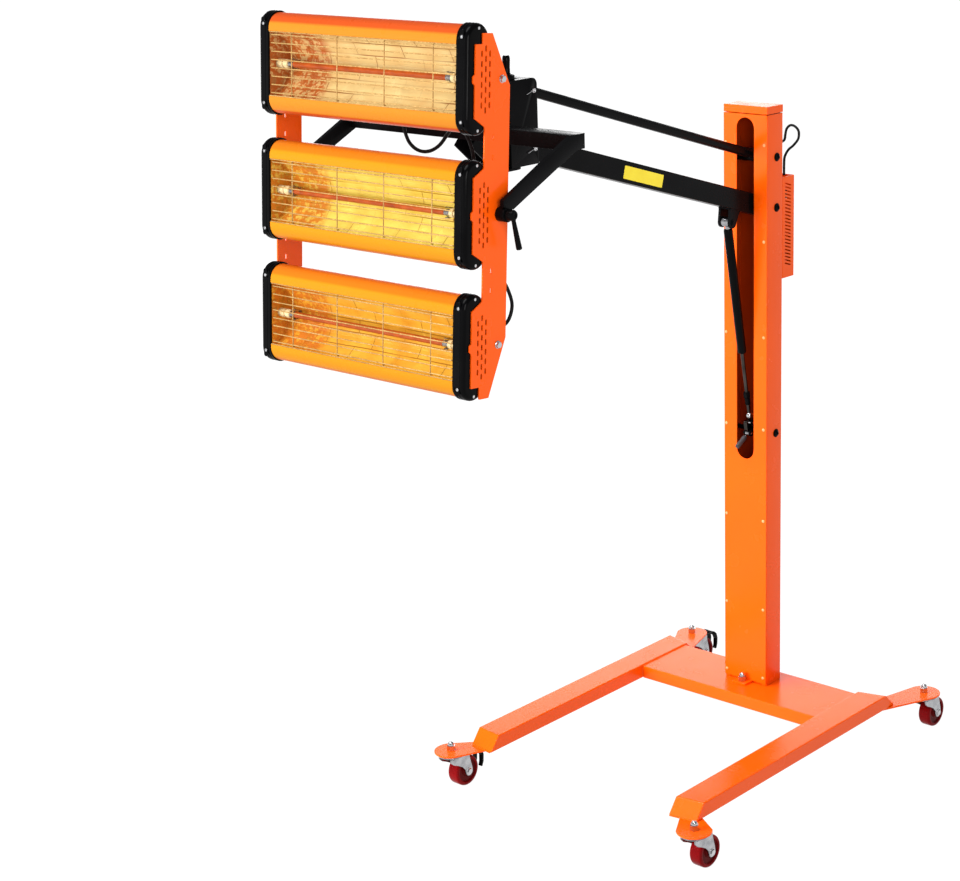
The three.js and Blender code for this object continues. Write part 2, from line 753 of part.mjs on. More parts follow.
function upperLink() {
  const rod = barY(linkRadius, -armLength, 0, 0, 0);
  const rearBoss = barX(linkEyeRadius, -bossHalf, bossHalf, 0, 0);
  const frontBoss = barX(linkEyeRadius, -eyeHalf, eyeHalf, -armLength, 0);
  return build([rod, rearBoss, frontBoss], [
    barX(columnPinRadius + boreClearance, -bossHalf - overrun, bossHalf + overrun, 0, 0, smallSides),
    barX(bracketPinRadius + boreClearance, -eyeHalf - overrun, eyeHalf + overrun, -armLength, 0, smallSides),
  ]);
}

const armGroup = groupAt(lamp, 0, pivotDepth, armPivotZ, -armAngle);
place(armGroup, 'main_arm', mainArm(), black);
const linkGroup = groupAt(lamp, 0, pivotDepth, linkPivotZ, -armAngle);
place(linkGroup, 'upper_link', upperLink(), black);
for (const [name, z] of [['arm_column_pin', armPivotZ], ['link_column_pin', linkPivotZ]]) {
  place(groupAt(lamp, 0, pivotDepth, z), name, pinThrough(columnPinRadius, halfColumn), black);
}

// Gas spring. Its own frame has the upper pivot as origin and the spring along -z.
const frontPivotY = pivotDepth - armLength * Math.cos(armAngle);
const frontPivotZ = armPivotZ + armLength * Math.sin(armAngle);
const springTopY = pivotDepth - clevisAlong * Math.cos(armAngle) - clevisDrop * Math.sin(armAngle);
const springTopZ = armPivotZ + clevisAlong * Math.sin(armAngle) - clevisDrop * Math.cos(armAngle);
const springLength = Math.hypot(anchorY - springTopY, springTopZ - anchorZ);
const springAngle = Math.atan2(anchorY - springTopY, springTopZ - anchorZ);
const barrelEnd = barrelStart + barrelLength;

function springCylinder() {
  const half = clevisGap / 2 - touch;
  const eye = barX(springEyeRadius, -half, half, 0, 0);
  const neck = barZ(springEyeRadius / 2, -barrelStart - bite, 0, 0, 0, smallSides);
  const bore = rodRadius + boreClearance;
  const barrel = turnedZ([[0, -barrelStart], [barrelRadius, -barrelStart], [barrelRadius, -barrelEnd],
    [bore, -barrelEnd], [bore, -barrelEnd + boreDepth], [0, -barrelEnd + boreDepth]]);
  const pinHole = barX(springPinRadius + boreClearance, -half - overrun, half + overrun, 0, 0, smallSides);
  return build([eye, neck, barrel], [pinHole]);
}

function springRod() {
  const headFront = anchorPinRadius + slackFront;
  const headBack = anchorPinRadius + slackBack;
  const headBelow = anchorPinRadius + slackBelow;
  const headAbove = anchorPinRadius + slackAbove;
  const low = -springLength;
  const rod = barZ(rodRadius, low + headAbove + rodHeadWall / 2, -barrelEnd + rodInside, 0, 0, smallSides);
  const nutMiddle = low + rodNutAbove;
  const nut = barZ(rodNutRadius, nutMiddle - rodNutLength / 2, nutMiddle + rodNutLength / 2, 0, 0, nutSides);
  const head = block(-rodHeadHalfWidth, rodHeadHalfWidth, -headFront - rodHeadWall, headBack + rodHeadWall,
    low - headBelow - rodHeadWall, low + headAbove + rodHeadWall);
  const eye = block(-rodHeadHalfWidth - overrun, rodHeadHalfWidth + overrun, -headFront, headBack,
    low - headBelow, low + headAbove);
  return build([rod, nut, head], [eye]);
}

const springGroup = groupAt(lamp, 0, springTopY, springTopZ, springAngle);
place(springGroup, 'gas_spring_cylinder', springCylinder(), black);
place(springGroup, 'gas_spring_rod', springRod(), zinc);

function springAnchor() {
  const bolt = pinThrough(anchorBoltRadius, halfColumn).translate(0, anchorBoltY, anchorBoltZ);
  const near = anchorGap / 2;
  const far = near + anchorWall;
  const straps = [[anchorY, anchorZ], [leverY, leverZ]].map(([y, z]) => (
    strap(anchorBoltY, anchorBoltZ, anchorRadius + bite, y, z, anchorRadius)));
  const cheeks = [[-far, -near], [near, far]].flatMap(([x0, x1]) => (
    straps.map((shape) => sideCut(shape, x0, x1, coarseArcSteps))));
  const pin = barX(anchorPinRadius, -far - bite, far + bite, anchorY, anchorZ, smallSides);
  const leverPin = barX(leverPinRadius, -far - bite, far + bite, leverY, leverZ, smallSides);
  return build([bolt, ...cheeks, pin, leverPin]);
}
place(lamp, 'gas_spring_anchor', springAnchor(), black);

function releaseLever() {
  const half = anchorGap / 2 - touch;
  const eye = barX(leverEyeRadius, -half, half, 0, 0, smallSides);
  const reach = (length) => [-length * Math.cos(leverAngle), -length * Math.sin(leverAngle)];
  const [y1, z1] = reach(leverLength);
  const [y0, z0] = reach(leverEyeRadius + anchorRadius);
  const neck = barBetween(leverPinRadius, ...reach(leverEyeRadius - bite), y0, z0);
  const handle = barBetween(leverRadius, y0, z0, y1, z1);
  const pinHole = barX(leverPinRadius + boreClearance, -half - overrun, half + overrun, 0, 0, smallSides);
  return build([eye, neck, handle], [pinHole]);
}
place(groupAt(lamp, 0, leverY, leverZ), 'gas_release_lever', releaseLever(), plastic);

// Head bracket with the swivel barrel
const swivelY = frontPivotY - swivelAhead;
const bracketBottom = frontPivotZ - bracketBelow;
const bracketTop = frontPivotZ + linkSpacing + bracketAbove;
const bracketRear = frontPivotY + bracketRearMargin;
const webBack = swivelY - barrelOuter + bite;
const webFront = webBack - bracketWall;

function headBracket() {
  const half = bracketWidth / 2;
  const wall = new THREE.Shape();
  wall.moveTo(webFront, bracketBottom);
  wall.lineTo(bracketRear, bracketBottom);
  wall.lineTo(bracketRear, bracketTop - bracketCorner);
  wall.absarc(bracketRear - bracketCorner, bracketTop - bracketCorner, bracketCorner, 0, Math.PI / 2, false);
  wall.lineTo(webFront, bracketTop);
  const walls = [sideCut(wall, -half, -half + bracketWall), sideCut(wall, half - bracketWall, half)];
  const web = block(-half, half, webFront, webBack, bracketBottom, bracketTop);
  const roof = block(-half, half, webFront, bracketRear - bracketCorner,
    bracketTop - bracketWall, bracketTop);
  const barrel = barZ(barrelOuter, bracketBottom, bracketTop, 0, swivelY);
  const pinHole = (z) => barX(bracketPinRadius + boreClearance, -half - overrun, half + overrun,
    frontPivotY, z, smallSides);
  return build([...walls, web, roof, barrel], [
    barZ(postRadius + boreClearance, bracketBottom - overrun, bracketTop + overrun, 0, swivelY),
    pinHole(frontPivotZ), pinHole(frontPivotZ + linkSpacing),
  ]);
}
place(lamp, 'head_bracket', headBracket(), black);
for (const [name, rise] of [['arm_bracket_pin', 0], ['link_bracket_pin', linkSpacing]]) {
  const pin = pinThrough(bracketPinRadius, bracketWidth / 2);
  place(groupAt(lamp, 0, frontPivotY, frontPivotZ + rise), name, pin, zinc);
}

// Swivel body: yoke and knob
const headHalf = cassetteLength / 2 + touch + capThickness + plateGap;
const plateOuter = headHalf + plateThickness;
const yokeInside = plateOuter + touch + hubLength;
const yokeOutside = yokeInside + yokeArmThickness;
const tiltY = swivelY - yokeReach;
const tiltZ = frontPivotZ - tiltDrop;
const crossbarTop = frontPivotZ + crossbarRise;
const crossbarRear = swivelY - crossbarBack;
const crossbarFront = crossbarRear - crossbarDepth;
const crossbarBottom = crossbarTop - crossbarHeight;
const carrierTop = bracketBottom - touch;
const carrierBottom = carrierTop - carrierPlate;

function yoke() {
  const half = bracketWidth / 2;
  const post = barZ(postRadius, carrierBottom, bracketTop, 0, swivelY);
  const stud = barZ(knobStudRadius, bracketTop - bite, bracketTop + knobStudLength, 0, swivelY, smallSides);
  const wallBack = swivelY - barrelOuter - carrierGap;
  const sole = block(-half, half, wallBack - barrelOuter, swivelY, carrierBottom, carrierTop);
  const heel = barZ(half, carrierBottom, carrierTop, 0, swivelY);
  const wallTop = crossbarTop - carrierStep;
  const wallFront = crossbarRear - bite;
  const wall = outline([[wallBack, carrierBottom], [wallBack, wallTop],
    [wallFront, wallTop], [wallFront, crossbarBottom + carrierStep],
    [swivelY - carrierTipY, carrierBottom + carrierTipRise],
    [swivelY - carrierLowY, carrierBottom + carrierLowRise]]);
  const walls = [sideCut(wall, -half, -half + bracketWall), sideCut(wall, half - bracketWall, half)];
  const web = block(-half, half, wallBack - bracketWall, wallBack, carrierBottom, wallTop);
  const bar = block(-yokeOutside, yokeOutside, crossbarFront, crossbarRear, crossbarBottom, crossbarTop);
  const hollow = block(-yokeInside, yokeInside, crossbarFront + armWall, crossbarRear - armWall,
    crossbarBottom + armWall, crossbarTop - armWall);
  const cableHole = barY(cableHoleRadius, crossbarRear - armWall - overrun, crossbarRear + overrun,
    bracketWidth, (crossbarTop + crossbarBottom) / 2, smallSides);
  const tip = yokeTip.map(([back, up]) => [tiltY + back, tiltZ + up]);
  const beyond = ([y0, z0], [y1, z1], lap) => {
    const share = 1 + lap / Math.hypot(y1 - y0, z1 - z0);
    return [y0 + (y1 - y0) * share, z0 + (z1 - z0) * share];
  };
  const low = beyond(tip[0], [crossbarRear - yokeArmRoot, crossbarBottom], yokeArmLap);
  const high = beyond(tip[2], [crossbarFront, crossbarTop - yokeArmEdge], 2 * bite);
  const arm = outline([low, ...tip, high, [high[0] + yokeArmLap, high[1]]]);
  const pieces = [post, stud, sole, heel, ...walls, web, bar];
  const cuts = [hollow, cableHole];
  for (const [, side] of sides) {
    const span = (inner, outer) => (side < 0 ? [-outer, -inner] : [inner, outer]);
    pieces.push(sideCut(arm, ...span(yokeInside, yokeOutside)));
    pieces.push(barX(hubRadius, ...span(plateOuter + touch, yokeOutside - bite), tiltY, tiltZ));
    const drilled = span(plateOuter - overrun, yokeOutside + overrun);
    cuts.push(barX(clampStudRadius + boreClearance, ...drilled, tiltY, tiltZ, smallSides));
  }
  return build(pieces, cuts);
}
place(lamp, 'yoke', yoke(), black);

function swivelKnob() {
  const bore = knobStudRadius + boreClearance;
  const base = touch;
  const top = base + knobHeight;
  const shoulder = base + knobBase;
  const ceiling = knobStudLength + touch;
  return turnedZ([[bore, base], [knobRadius, base], [knobRadius, shoulder],
    [knobStemRadius, shoulder + knobStemRadius / 2], [knobStemRadius, top - knobStemRadius / 3],
    [knobTipRadius, top], [0, top], [0, ceiling], [bore, ceiling], [bore, base]]);
}
place(groupAt(lamp, 0, swivelY, bracketTop), 'swivel_knob', swivelKnob(), black);

// Clamp levers of the head's tilt
function clampLever(side) {
  const inner = headHalf - touch;
  const seat = yokeOutside + touch;
  const end = seat + clampHubLength;
  const stud = turnedX([[0, inner - clampNutLength], [clampNutRadius, inner - clampNutLength],
    [clampNutRadius, inner], [clampStudRadius, inner], [clampStudRadius, seat],
    [clampHubRadius, seat], [clampHubEndRadius, end], [0, end]], smallSides);
  const x = end - clampLeverRadius;
  const lean = [clampLeverLength * Math.sin(clampLeverAngle), -clampLeverLength * Math.cos(clampLeverAngle)];
  const lever = barBetween(clampLeverRadius, 0, 0, lean[0], lean[1], x);
  const geometry = build([stud, lever]);
  return side < 0 ? geometry.scale(-1, 1, 1) : geometry;
}
for (const [name, side] of sides) {
  place(groupAt(lamp, 0, tiltY, tiltZ), `${name}_clamp_lever`, clampLever(side), black);
}

// Head. In its own frame y runs back and z runs up along the plates, from the tilt pivot.
const head = groupAt(lamp, 0, tiltY, tiltZ, -headTilt);

function sidePlate(side) {
  const f = -plateFront;
  const n = -plateNeck;
  const tabAt = (up) => [[f, up + plateTabHalf], [f - plateTab, up + plateTabHalf / 2],
    [f - plateTab, up - plateTabHalf / 2], [f, up - plateTabHalf]];
  const top = cassettePitch;
  const foot = -cassettePitch;
  const points = [
    [plateBack, top - plateRearCut], [-plateTopInner, top + plateTop], [-plateTopOuter, top + plateTop],
    [-plateTopOuter, top + plateShoulderTop], [f, top + plateShoulderTop], ...tabAt(top),
    [f, top - plateWide], [n, top - plateNeckEdge], [n, plateNeckEdge], [f, plateWide], ...tabAt(0),
    [f, -plateWide],
    [n, -plateNeckEdge], [n, foot + plateNeckEdge], [f, foot + plateWide], ...tabAt(foot),
    [f, foot - plateShoulderFoot], [-plateFootOuter, foot - plateShoulderFoot],
    [-plateFootOuter, foot - plateFoot],
    [-plateFootInner, foot - plateFoot], [plateBack, foot + plateRearCut],
  ];
  const shape = outline(points);
  const w = plateSlotWidth / 2;
  const h = plateSlotHeight / 2;
  const corners = [[-w, -h], [w, -h], [w, h], [-w, h]];
  const hole = (u, v) => shape.holes.push(new THREE.Path(
    corners.map(([du, dv]) => new THREE.Vector2(u + du, v + dv))));
  for (const lampUp of [-cassettePitch, 0, cassettePitch]) {
    plateSlotColumns.forEach((ahead, column) => {
      const rows = column === 1 ? plateSlotRows : plateSlotRows - 1;
      for (let k = 0; k < rows; k += 1) {
        hole(-ahead, lampUp + (k - (rows - 1) / 2) * plateSlotPitch);
      }
    });
  }
  for (const neck of [-cassettePitch / 2, cassettePitch / 2]) {
    hole(-neckHoleAhead, neck - neckHoleOffset);
    hole(-neckHoleAhead, neck + neckHoleOffset);
  }
  const from = side < 0 ? -plateOuter : headHalf;
  const drill = (radius, up) => barX(radius + boreClearance, from - overrun, from + plateThickness + overrun,
    0, up, smallSides);
  return build([sideCut(shape, from, from + plateThickness)],
    [drill(clampStudRadius, 0), drill(tieBoltRadius, cassettePitch), drill(tieBoltRadius, -cassettePitch)]);
}
for (const [name, side] of sides) place(head, `${name}_side_plate`, sidePlate(side), orange);

function tieBar(up) {
  const inner = headHalf - touch;
  const seat = plateOuter + touch;
  const end = seat + tieHeadLength;
  const right = [[tieRadius, inner], [tieBoltRadius, inner], [tieBoltRadius, seat], [tieHeadRadius, seat],
    [tieHeadRadius, end], [0, end]];
  const left = [...right].reverse().map(([radius, along]) => [radius, -along]);
  return turnedX([...left, ...right], smallSides).translate(0, 0, up);
}
place(head, 'top_tie_bar', tieBar(cassettePitch), black);
place(head, 'bottom_tie_bar', tieBar(-cassettePitch), black);

// Cassettes
const housingMiddle = -housingFront + housingDepth / 2;

function housingGeometry() {
  const outerR = housingDepth / 2;
  const innerR = outerR - housingWall;
  const straight = housingHeight / 2 - outerR;
  const open = housingHeight / 2 - mouthMargin;
  const shape = new THREE.Shape();
  shape.moveTo(-outerR, open);
  shape.lineTo(-outerR, straight);
  shape.absarc(0, straight, outerR, Math.PI, 0, true);
  shape.absarc(0, -straight, outerR, 0, -Math.PI, true);
  shape.lineTo(-outerR, -open);
  shape.lineTo(-outerR + housingWall, -open);
  shape.absarc(0, -straight, innerR, -Math.PI, 0, false);
  shape.absarc(0, straight, innerR, 0, Math.PI, false);
  shape.lineTo(-outerR + housingWall, open);
  return sideCut(shape, -cassetteLength / 2, cassetteLength / 2, fineArcSteps);
}

function reflectorGeometry() {
  const front = -housingDepth / 2 + housingWall + reflectorGap;
  const half = housingHeight / 2 - housingDepth / 2;
  const face = (inset) => reflectorShares.map(([depth, rise]) => (
    [front + depth * (reflectorDepth - inset), rise * half - inset]));
  const inner = face(reflectorWall);
  const outer = face(0);
  const low = (points) => [...points].reverse().map(([u, v]) => [u, -v]);
  const loop = [...outer, ...low(outer), ...low(inner).reverse(), ...[...inner].reverse()];
  return sideCut(outline(loop), -cassetteLength / 2, cassetteLength / 2);
}

function lampTubeGeometry() {
  const end = cassetteLength / 2;
  const inner = end - ceramicLength;
  return turnedX([[0, -end], [ceramicRadius, -end], [ceramicRadius, -inner], [tubeRadius, -inner],
    [tubeRadius, inner], [ceramicRadius, inner], [ceramicRadius, end], [0, end]], smallSides);
}

function guardGeometry() {
  const end = cassetteLength / 2;
  const open = housingHeight / 2 - mouthMargin;
  const reach = open - guardBarClearance;
  const rowPitch = (2 * (open - guardEdge)) / (guardRows - 1);
  const columnPitch = (2 * (end - guardSideEdge)) / (guardColumns - 1);
  const wires = [];
  for (let k = 0; k < guardRows; k += 1) {
    wires.push(barX(guardWire, -end, end, 0, (k - (guardRows - 1) / 2) * rowPitch, wireSides));
  }
  const behind = 2 * guardWire - guardLap;
  for (let k = 0; k < guardColumns; k += 1) {
    const x = (k - (guardColumns - 1) / 2) * columnPitch;
    wires.push(barZ(guardWire, -reach, reach, x, behind, wireSides));
  }
  return build(wires);
}

function endCapGeometry(side) {
  const height = housingHeight + capOversize - 2 * capBevel;
  const depth = housingDepth + capOverdepth - 2 * capBevel;
  const geometry = new THREE.ExtrudeGeometry(stadium(depth, height), {
    depth: capThickness - capBevel, bevelEnabled: true, bevelThickness: capBevel, bevelSize: capBevel,
    bevelSegments: coarseArcSteps, curveSegments: fineArcSteps,
  });
  const turn = new THREE.Matrix4().makeBasis(
    new THREE.Vector3(0, 1, 0), new THREE.Vector3(0, 0, 1), new THREE.Vector3(1, 0, 0));
  geometry.applyMatrix4(turn);
  const whole = side < 0 ? geometry.scale(-1, 1, 1) : geometry;
  const seat = cassetteLength / 2 + touch;
  whole.translate(side * seat, 0, 0);
  const wasteFrom = Math.min(side * seat, side * (seat - capThickness));
  const waste = block(wasteFrom, wasteFrom + capThickness, -housingHeight, housingHeight,
    -housingHeight, housingHeight);
  return build([whole], [waste]);
}

for (const [name, level] of [['top', 1], ['middle', 0], ['bottom', -1]]) {
  const cassette = groupAt(head, 0, housingMiddle, level * cassettePitch);
  place(cassette, `${name}_housing`, housingGeometry(), orange);
  place(cassette, `${name}_reflector`, reflectorGeometry(), aluminium);
  const lampSpot = groupAt(cassette, 0, -housingDepth / 2 + lampSetback, 0);
  place(lampSpot, `${name}_quartz_tube`, lampTubeGeometry(), quartz);
  const guardSpot = groupAt(cassette, 0, -housingDepth / 2 + guardSetback, 0);
  place(guardSpot, `${name}_wire_guard`, guardGeometry(), steelWire);
  for (const [sideName, side] of sides) {
    place(cassette, `${name}_${sideName}_end_cap`, endCapGeometry(side), plastic);
  }
}

// Cables
const columnCablePoints = columnCableRoute.map(([back, up]) => [columnCableX, back, columnCableHoleZ + up]);
place(lamp, 'column_cable', tube(columnCablePoints, cableRadius, cableSteps), rubber);
place(head, 'head_harness', tube(harnessRoute, harnessRadius, harnessSteps), rubber);

// The origin is on the floor, under the middle of the whole lamp
lamp.updateMatrixWorld(true);
const whole = new THREE.Box3().setFromObject(lamp, true);
const middle = whole.getCenter(new THREE.Vector3());
lamp.position.set(-middle.x, -middle.y, -whole.min.z);
lamp.updateMatrixWorld(true);

export default lamp;
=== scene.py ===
from math import acos, atan2, copysign, cos, hypot, pi, radians, sin, sqrt, tan

import bmesh
import bpy
from mathutils import Matrix, Vector
from mathutils.geometry import tessellate_polygon


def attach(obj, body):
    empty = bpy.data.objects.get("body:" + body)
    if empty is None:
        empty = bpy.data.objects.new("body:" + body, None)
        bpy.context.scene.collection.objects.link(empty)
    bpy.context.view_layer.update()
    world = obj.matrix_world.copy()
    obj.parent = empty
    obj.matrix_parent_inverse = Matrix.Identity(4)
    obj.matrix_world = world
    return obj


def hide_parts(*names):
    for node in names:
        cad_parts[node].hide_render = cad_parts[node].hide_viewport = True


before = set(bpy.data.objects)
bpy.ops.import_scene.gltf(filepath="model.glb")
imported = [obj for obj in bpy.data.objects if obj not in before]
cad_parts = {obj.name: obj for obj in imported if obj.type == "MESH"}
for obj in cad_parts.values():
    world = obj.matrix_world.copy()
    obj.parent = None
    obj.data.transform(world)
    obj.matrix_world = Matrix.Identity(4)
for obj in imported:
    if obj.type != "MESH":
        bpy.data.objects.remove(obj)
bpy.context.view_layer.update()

# Lengths are millimetres in the frame that the part is drawn in (y = 0 on the column's front face, z = 0 on
# the floor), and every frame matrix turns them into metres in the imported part's frame.
MM = 0.001
DRAWN = Matrix.Translation((0, 0.388407, -0.000201)) @ Matrix.Scale(MM, 4)
ARM_ANGLE, ARM_LENGTH = radians(16.6), 705
PIVOT, LINK_RISE = (32.8, 1122.2), 100
LINK_PIVOT = (PIVOT[0], PIVOT[1] + LINK_RISE)
CLEVIS_ALONG, CLEVIS_DROP = 83.4, 45.6
ANCHOR = (17.0, 676.0)
LEVER_AT = (10, 655)
SIDES = (("left", -1), ("right", 1))


def frame_at(x, y, z, turn=0.0):
    return DRAWN @ Matrix.Translation((x, y, z)) @ Matrix.Rotation(turn, 4, "X")


def on_arm(along, drop):
    """The y and z of a point of the arm, so far along it and so far under its middle line."""
    return (PIVOT[0] - along * cos(ARM_ANGLE) - drop * sin(ARM_ANGLE),
            PIVOT[1] + along * sin(ARM_ANGLE) - drop * cos(ARM_ANGLE))


FRONT = on_arm(ARM_LENGTH, 0)
SPRING_TOP = on_arm(CLEVIS_ALONG, CLEVIS_DROP)
SPRING_RUN, SPRING_FALL = ANCHOR[0] - SPRING_TOP[0], SPRING_TOP[1] - ANCHOR[1]
SPRING_LENGTH = hypot(SPRING_RUN, SPRING_FALL)
SPRING = frame_at(0, *SPRING_TOP, atan2(SPRING_RUN, SPRING_FALL))
SWIVEL_Y = FRONT[0] - 45.2
TILT = (SWIVEL_Y - 285.3, FRONT[1] - 40.6)
HEAD = frame_at(0, *TILT, -radians(4.2))
PITCH = 207  # from one cassette to the next
HALF = 209.7  # of a cassette's length
PLATE_IN, PLATE_OUT = 233.7, 236.2

# A piece's place and the body that it rides on
BASE = (DRAWN, "base")
ON_ARM = (frame_at(0, *PIVOT, -ARM_ANGLE), "arm")
ON_HEAD = (HEAD, "head")


def new_object(name, data):
    made = bpy.data.objects.new(name, data)
    bpy.context.scene.collection.objects.link(made)
    return made


# Camera, fitted to the photo

FOCAL_PIXELS, PHOTO_WIDTH, SENSOR = 2133.04, 960, 36
CAMERA_AT, CAMERA_TURN = (2458.4, -3388.7, 1880.6), (40.02, 16.44, -1.16)


def make_camera():
    azimuth, pitch, roll = (radians(a) for a in CAMERA_TURN)
    right = Vector((cos(azimuth), sin(azimuth), 0))
    look = Vector((-sin(azimuth) * cos(pitch), cos(azimuth) * cos(pitch), -sin(pitch)))
    up = right.cross(look)
    axes = (right * cos(roll) + up * sin(roll), up * cos(roll) - right * sin(roll), -look)
    data = bpy.data.cameras.new("camera")
    data.sensor_width, data.sensor_fit = SENSOR, "HORIZONTAL"
    data.lens = FOCAL_PIXELS / PHOTO_WIDTH * SENSOR
    data.shift_x, data.shift_y = -0.125, -0.0005
    data.clip_end = 200
    camera = new_object("camera", data)
    camera.matrix_world = Matrix.Translation(DRAWN @ Vector(CAMERA_AT)) @ Matrix(axes).transposed().to_4x4()
    bpy.context.scene.camera = camera


make_camera()


# Materials

class Nodes:
    """The node tree of a material or of the world. A socket takes a constant or another node's output."""

    def __init__(self, owner, shader="Principled BSDF", coord="Object"):
        owner.use_nodes = True
        self.owner, self.tree = owner, owner.node_tree
        self.shader = self.tree.nodes[shader]
        self.coord = self.node("TexCoord").outputs[coord]

    def put(self, node, values):
        for key, value in values.items():
            socket = node.inputs[key]
            if isinstance(value, bpy.types.NodeSocket):
                self.tree.links.new(value, socket)
            else:
                socket.default_value = (*value, 1) if socket.type == "RGBA" else value

    def node(self, kind, values=None, **settings):
        made = self.tree.nodes.new("ShaderNode" + kind)
        for key, value in settings.items():
            setattr(made, key, value)
        self.put(made, values or {})
        return made

    def noise(self, scale, detail=2.0, rough=0.5, over=None):
        return self.node("TexNoise", {"Vector": over or self.coord, "Scale": scale, "Detail": detail,
                                      "Roughness": rough}).outputs["Fac"]

    def ramp(self, value, *stops):
        made = self.node("ValToRGB", {"Fac": value})
        elements = made.color_ramp.elements
        while len(elements) < len(stops):
            elements.new(0.5)
        for element, (at, color) in zip(elements, stops):
            element.position = at
            element.color = (*color, 1)
        return made.outputs["Color"]

    def spread(self, value, low, high, start=0.3, end=0.7):
        return self.node("MapRange", {"Value": value, "From Min": start, "From Max": end, "To Min": low,
                                      "To Max": high}).outputs["Result"]

    def math(self, operation, *terms):
        return self.node("Math", dict(enumerate(terms)), operation=operation).outputs["Value"]

    def bump(self, height, strength, distance=0.0002):
        made = self.node("Bump", {"Strength": strength, "Distance": distance, "Height": height})
        self.put(self.shader, {"Normal": made.outputs["Normal"]})

    def shade(self, values):
        self.put(self.shader, values)
        return self.owner


def new_material(name):
    return Nodes(bpy.data.materials.new(name))


def grey(value):
    return value, value, value


def surface(name, low, high, rough, patch, grain, bump, specular=0.5, metal=0.0, streak=None):
    """Two tones mixed in soft patches, uneven gloss and a fine grain. streak draws the grain out."""
    nodes = new_material(name)
    grained = nodes.coord
    if streak:
        grained = nodes.node("Mapping", {"Vector": nodes.coord, "Scale": streak}).outputs["Vector"]
    nodes.bump(nodes.noise(grain, over=grained), bump)
    return nodes.shade({"Base Color": nodes.ramp(nodes.noise(patch, 3), (0.35, low), (0.65, high)),
                        "Roughness": nodes.spread(nodes.noise(patch * 4, 4, over=grained), *rough),
                        "Metallic": metal, "Specular IOR Level": specular})


def housing_finish(level, back, middle, lip):
    """Orange paint that turns towards yellow at the mouth: the light of the lamp, painted in."""
    nodes = new_material(f"{level}_housing_paint_and_lamp_light")
    nodes.bump(nodes.noise(900), 0.1)
    painted_lamp_light = nodes.node("Attribute", attribute_name="painted_lamp_light").outputs["Fac"]
    return nodes.shade({"Base Color": nodes.ramp(painted_lamp_light, (0.0, back), (0.55, middle), (0.88, middle), (0.95, lip)),
                        "Roughness": nodes.spread(nodes.noise(30, 3), 0.24, 0.34), "Specular IOR Level": 0.04})


def reflector_finish(level, deep, pale, shade_and_reflection_tone):
    """Polished aluminium, hammered near the ends, tinted by its lamp's light and glowing faintly with it as painted
    light, with the guard's thin dark wires as painted reflections and a speckled painted shade over its left end.
    """
    nodes = new_material(f"{level}_reflector_mirror")
    cells = nodes.node("TexVoronoi", {"Vector": nodes.coord, "Scale": 150}).outputs["Distance"]
    hammered = nodes.node("Attribute", attribute_name="hammered").outputs["Fac"]
    nodes.bump(nodes.math("MULTIPLY", cells, hammered), 0.3, 0.002)
    patches = nodes.noise(22, 3)
    split = nodes.node("SeparateXYZ", {"Vector": nodes.coord}).outputs
    # Thin dark lines in patches: the guard's wires, painted in as reflections.
    wobble = nodes.math("MULTIPLY_ADD", nodes.noise(7, 1), 0.005, split["Z"])
    flat = nodes.node("CombineXYZ", {"X": split["X"], "Y": wobble}).outputs["Vector"]
    wires = nodes.node("TexBrick", {"Vector": flat, "Scale": 1, "Mortar Size": 0.0009, "Mortar Smooth": 0.2,
                                    "Brick Width": 0.105, "Row Height": 0.0205}, offset=0.37).outputs["Fac"]
    here = nodes.ramp(nodes.noise(9, 1), (0.40, grey(0.2)), (0.55, grey(0.9)))
    # A speckled painted shade over the left end of the reflector.
    left = nodes.spread(split["X"], 0.0, 1.0, -0.095, -0.118)
    painted_shade_speckle = nodes.ramp(nodes.noise(95, 4, 0.7), (0.49, grey(1.0)), (0.57, grey(0.3)))
    line = tuple(c * k for c, k in zip(shade_and_reflection_tone, (0.55, 0.75, 0.6)))
    color = nodes.ramp(patches, (0.3, deep), (0.7, pale))
    for share, over in ((nodes.math("MULTIPLY", wires, here), line),
                        (nodes.math("MULTIPLY", left, painted_shade_speckle), shade_and_reflection_tone)):
        mixed = nodes.node("Mix", {"Factor": share, "A": color, "B": over}, data_type="RGBA")
        color = mixed.outputs["Result"]
    # The reflector's own colour glows faintly: painted lamp light, though the reflector is no lamp.
    return nodes.shade({"Base Color": color, "Emission Color": color, "Emission Strength": 0.4, "Metallic": 0.2,
                        "Roughness": nodes.spread(patches, 0.18, 0.28)})


def glass_finish():
    """Ruby coated quartz over a glowing coil."""
    nodes = new_material("ruby_quartz")
    tint = nodes.ramp(nodes.noise(60), (0.3, (0.24, 0.035, 0.004)), (0.7, (0.36, 0.065, 0.008)))
    return nodes.shade({"Base Color": tint, "Roughness": 0.08, "Transmission Weight": 0.2,
                        "Specular IOR Level": 0.25, "Emission Color": (1.0, 0.20, 0.02),
                        "Emission Strength": 0.05})


# Name, two tones, range of roughness, scale of the patches and of the grain, its depth, specular level
ORANGE = surface("orange_powder_coat", (0.86, 0.088, 0.001), (0.91, 0.097, 0.001), (0.20, 0.29), 5, 1100, 0.14, 0.17)
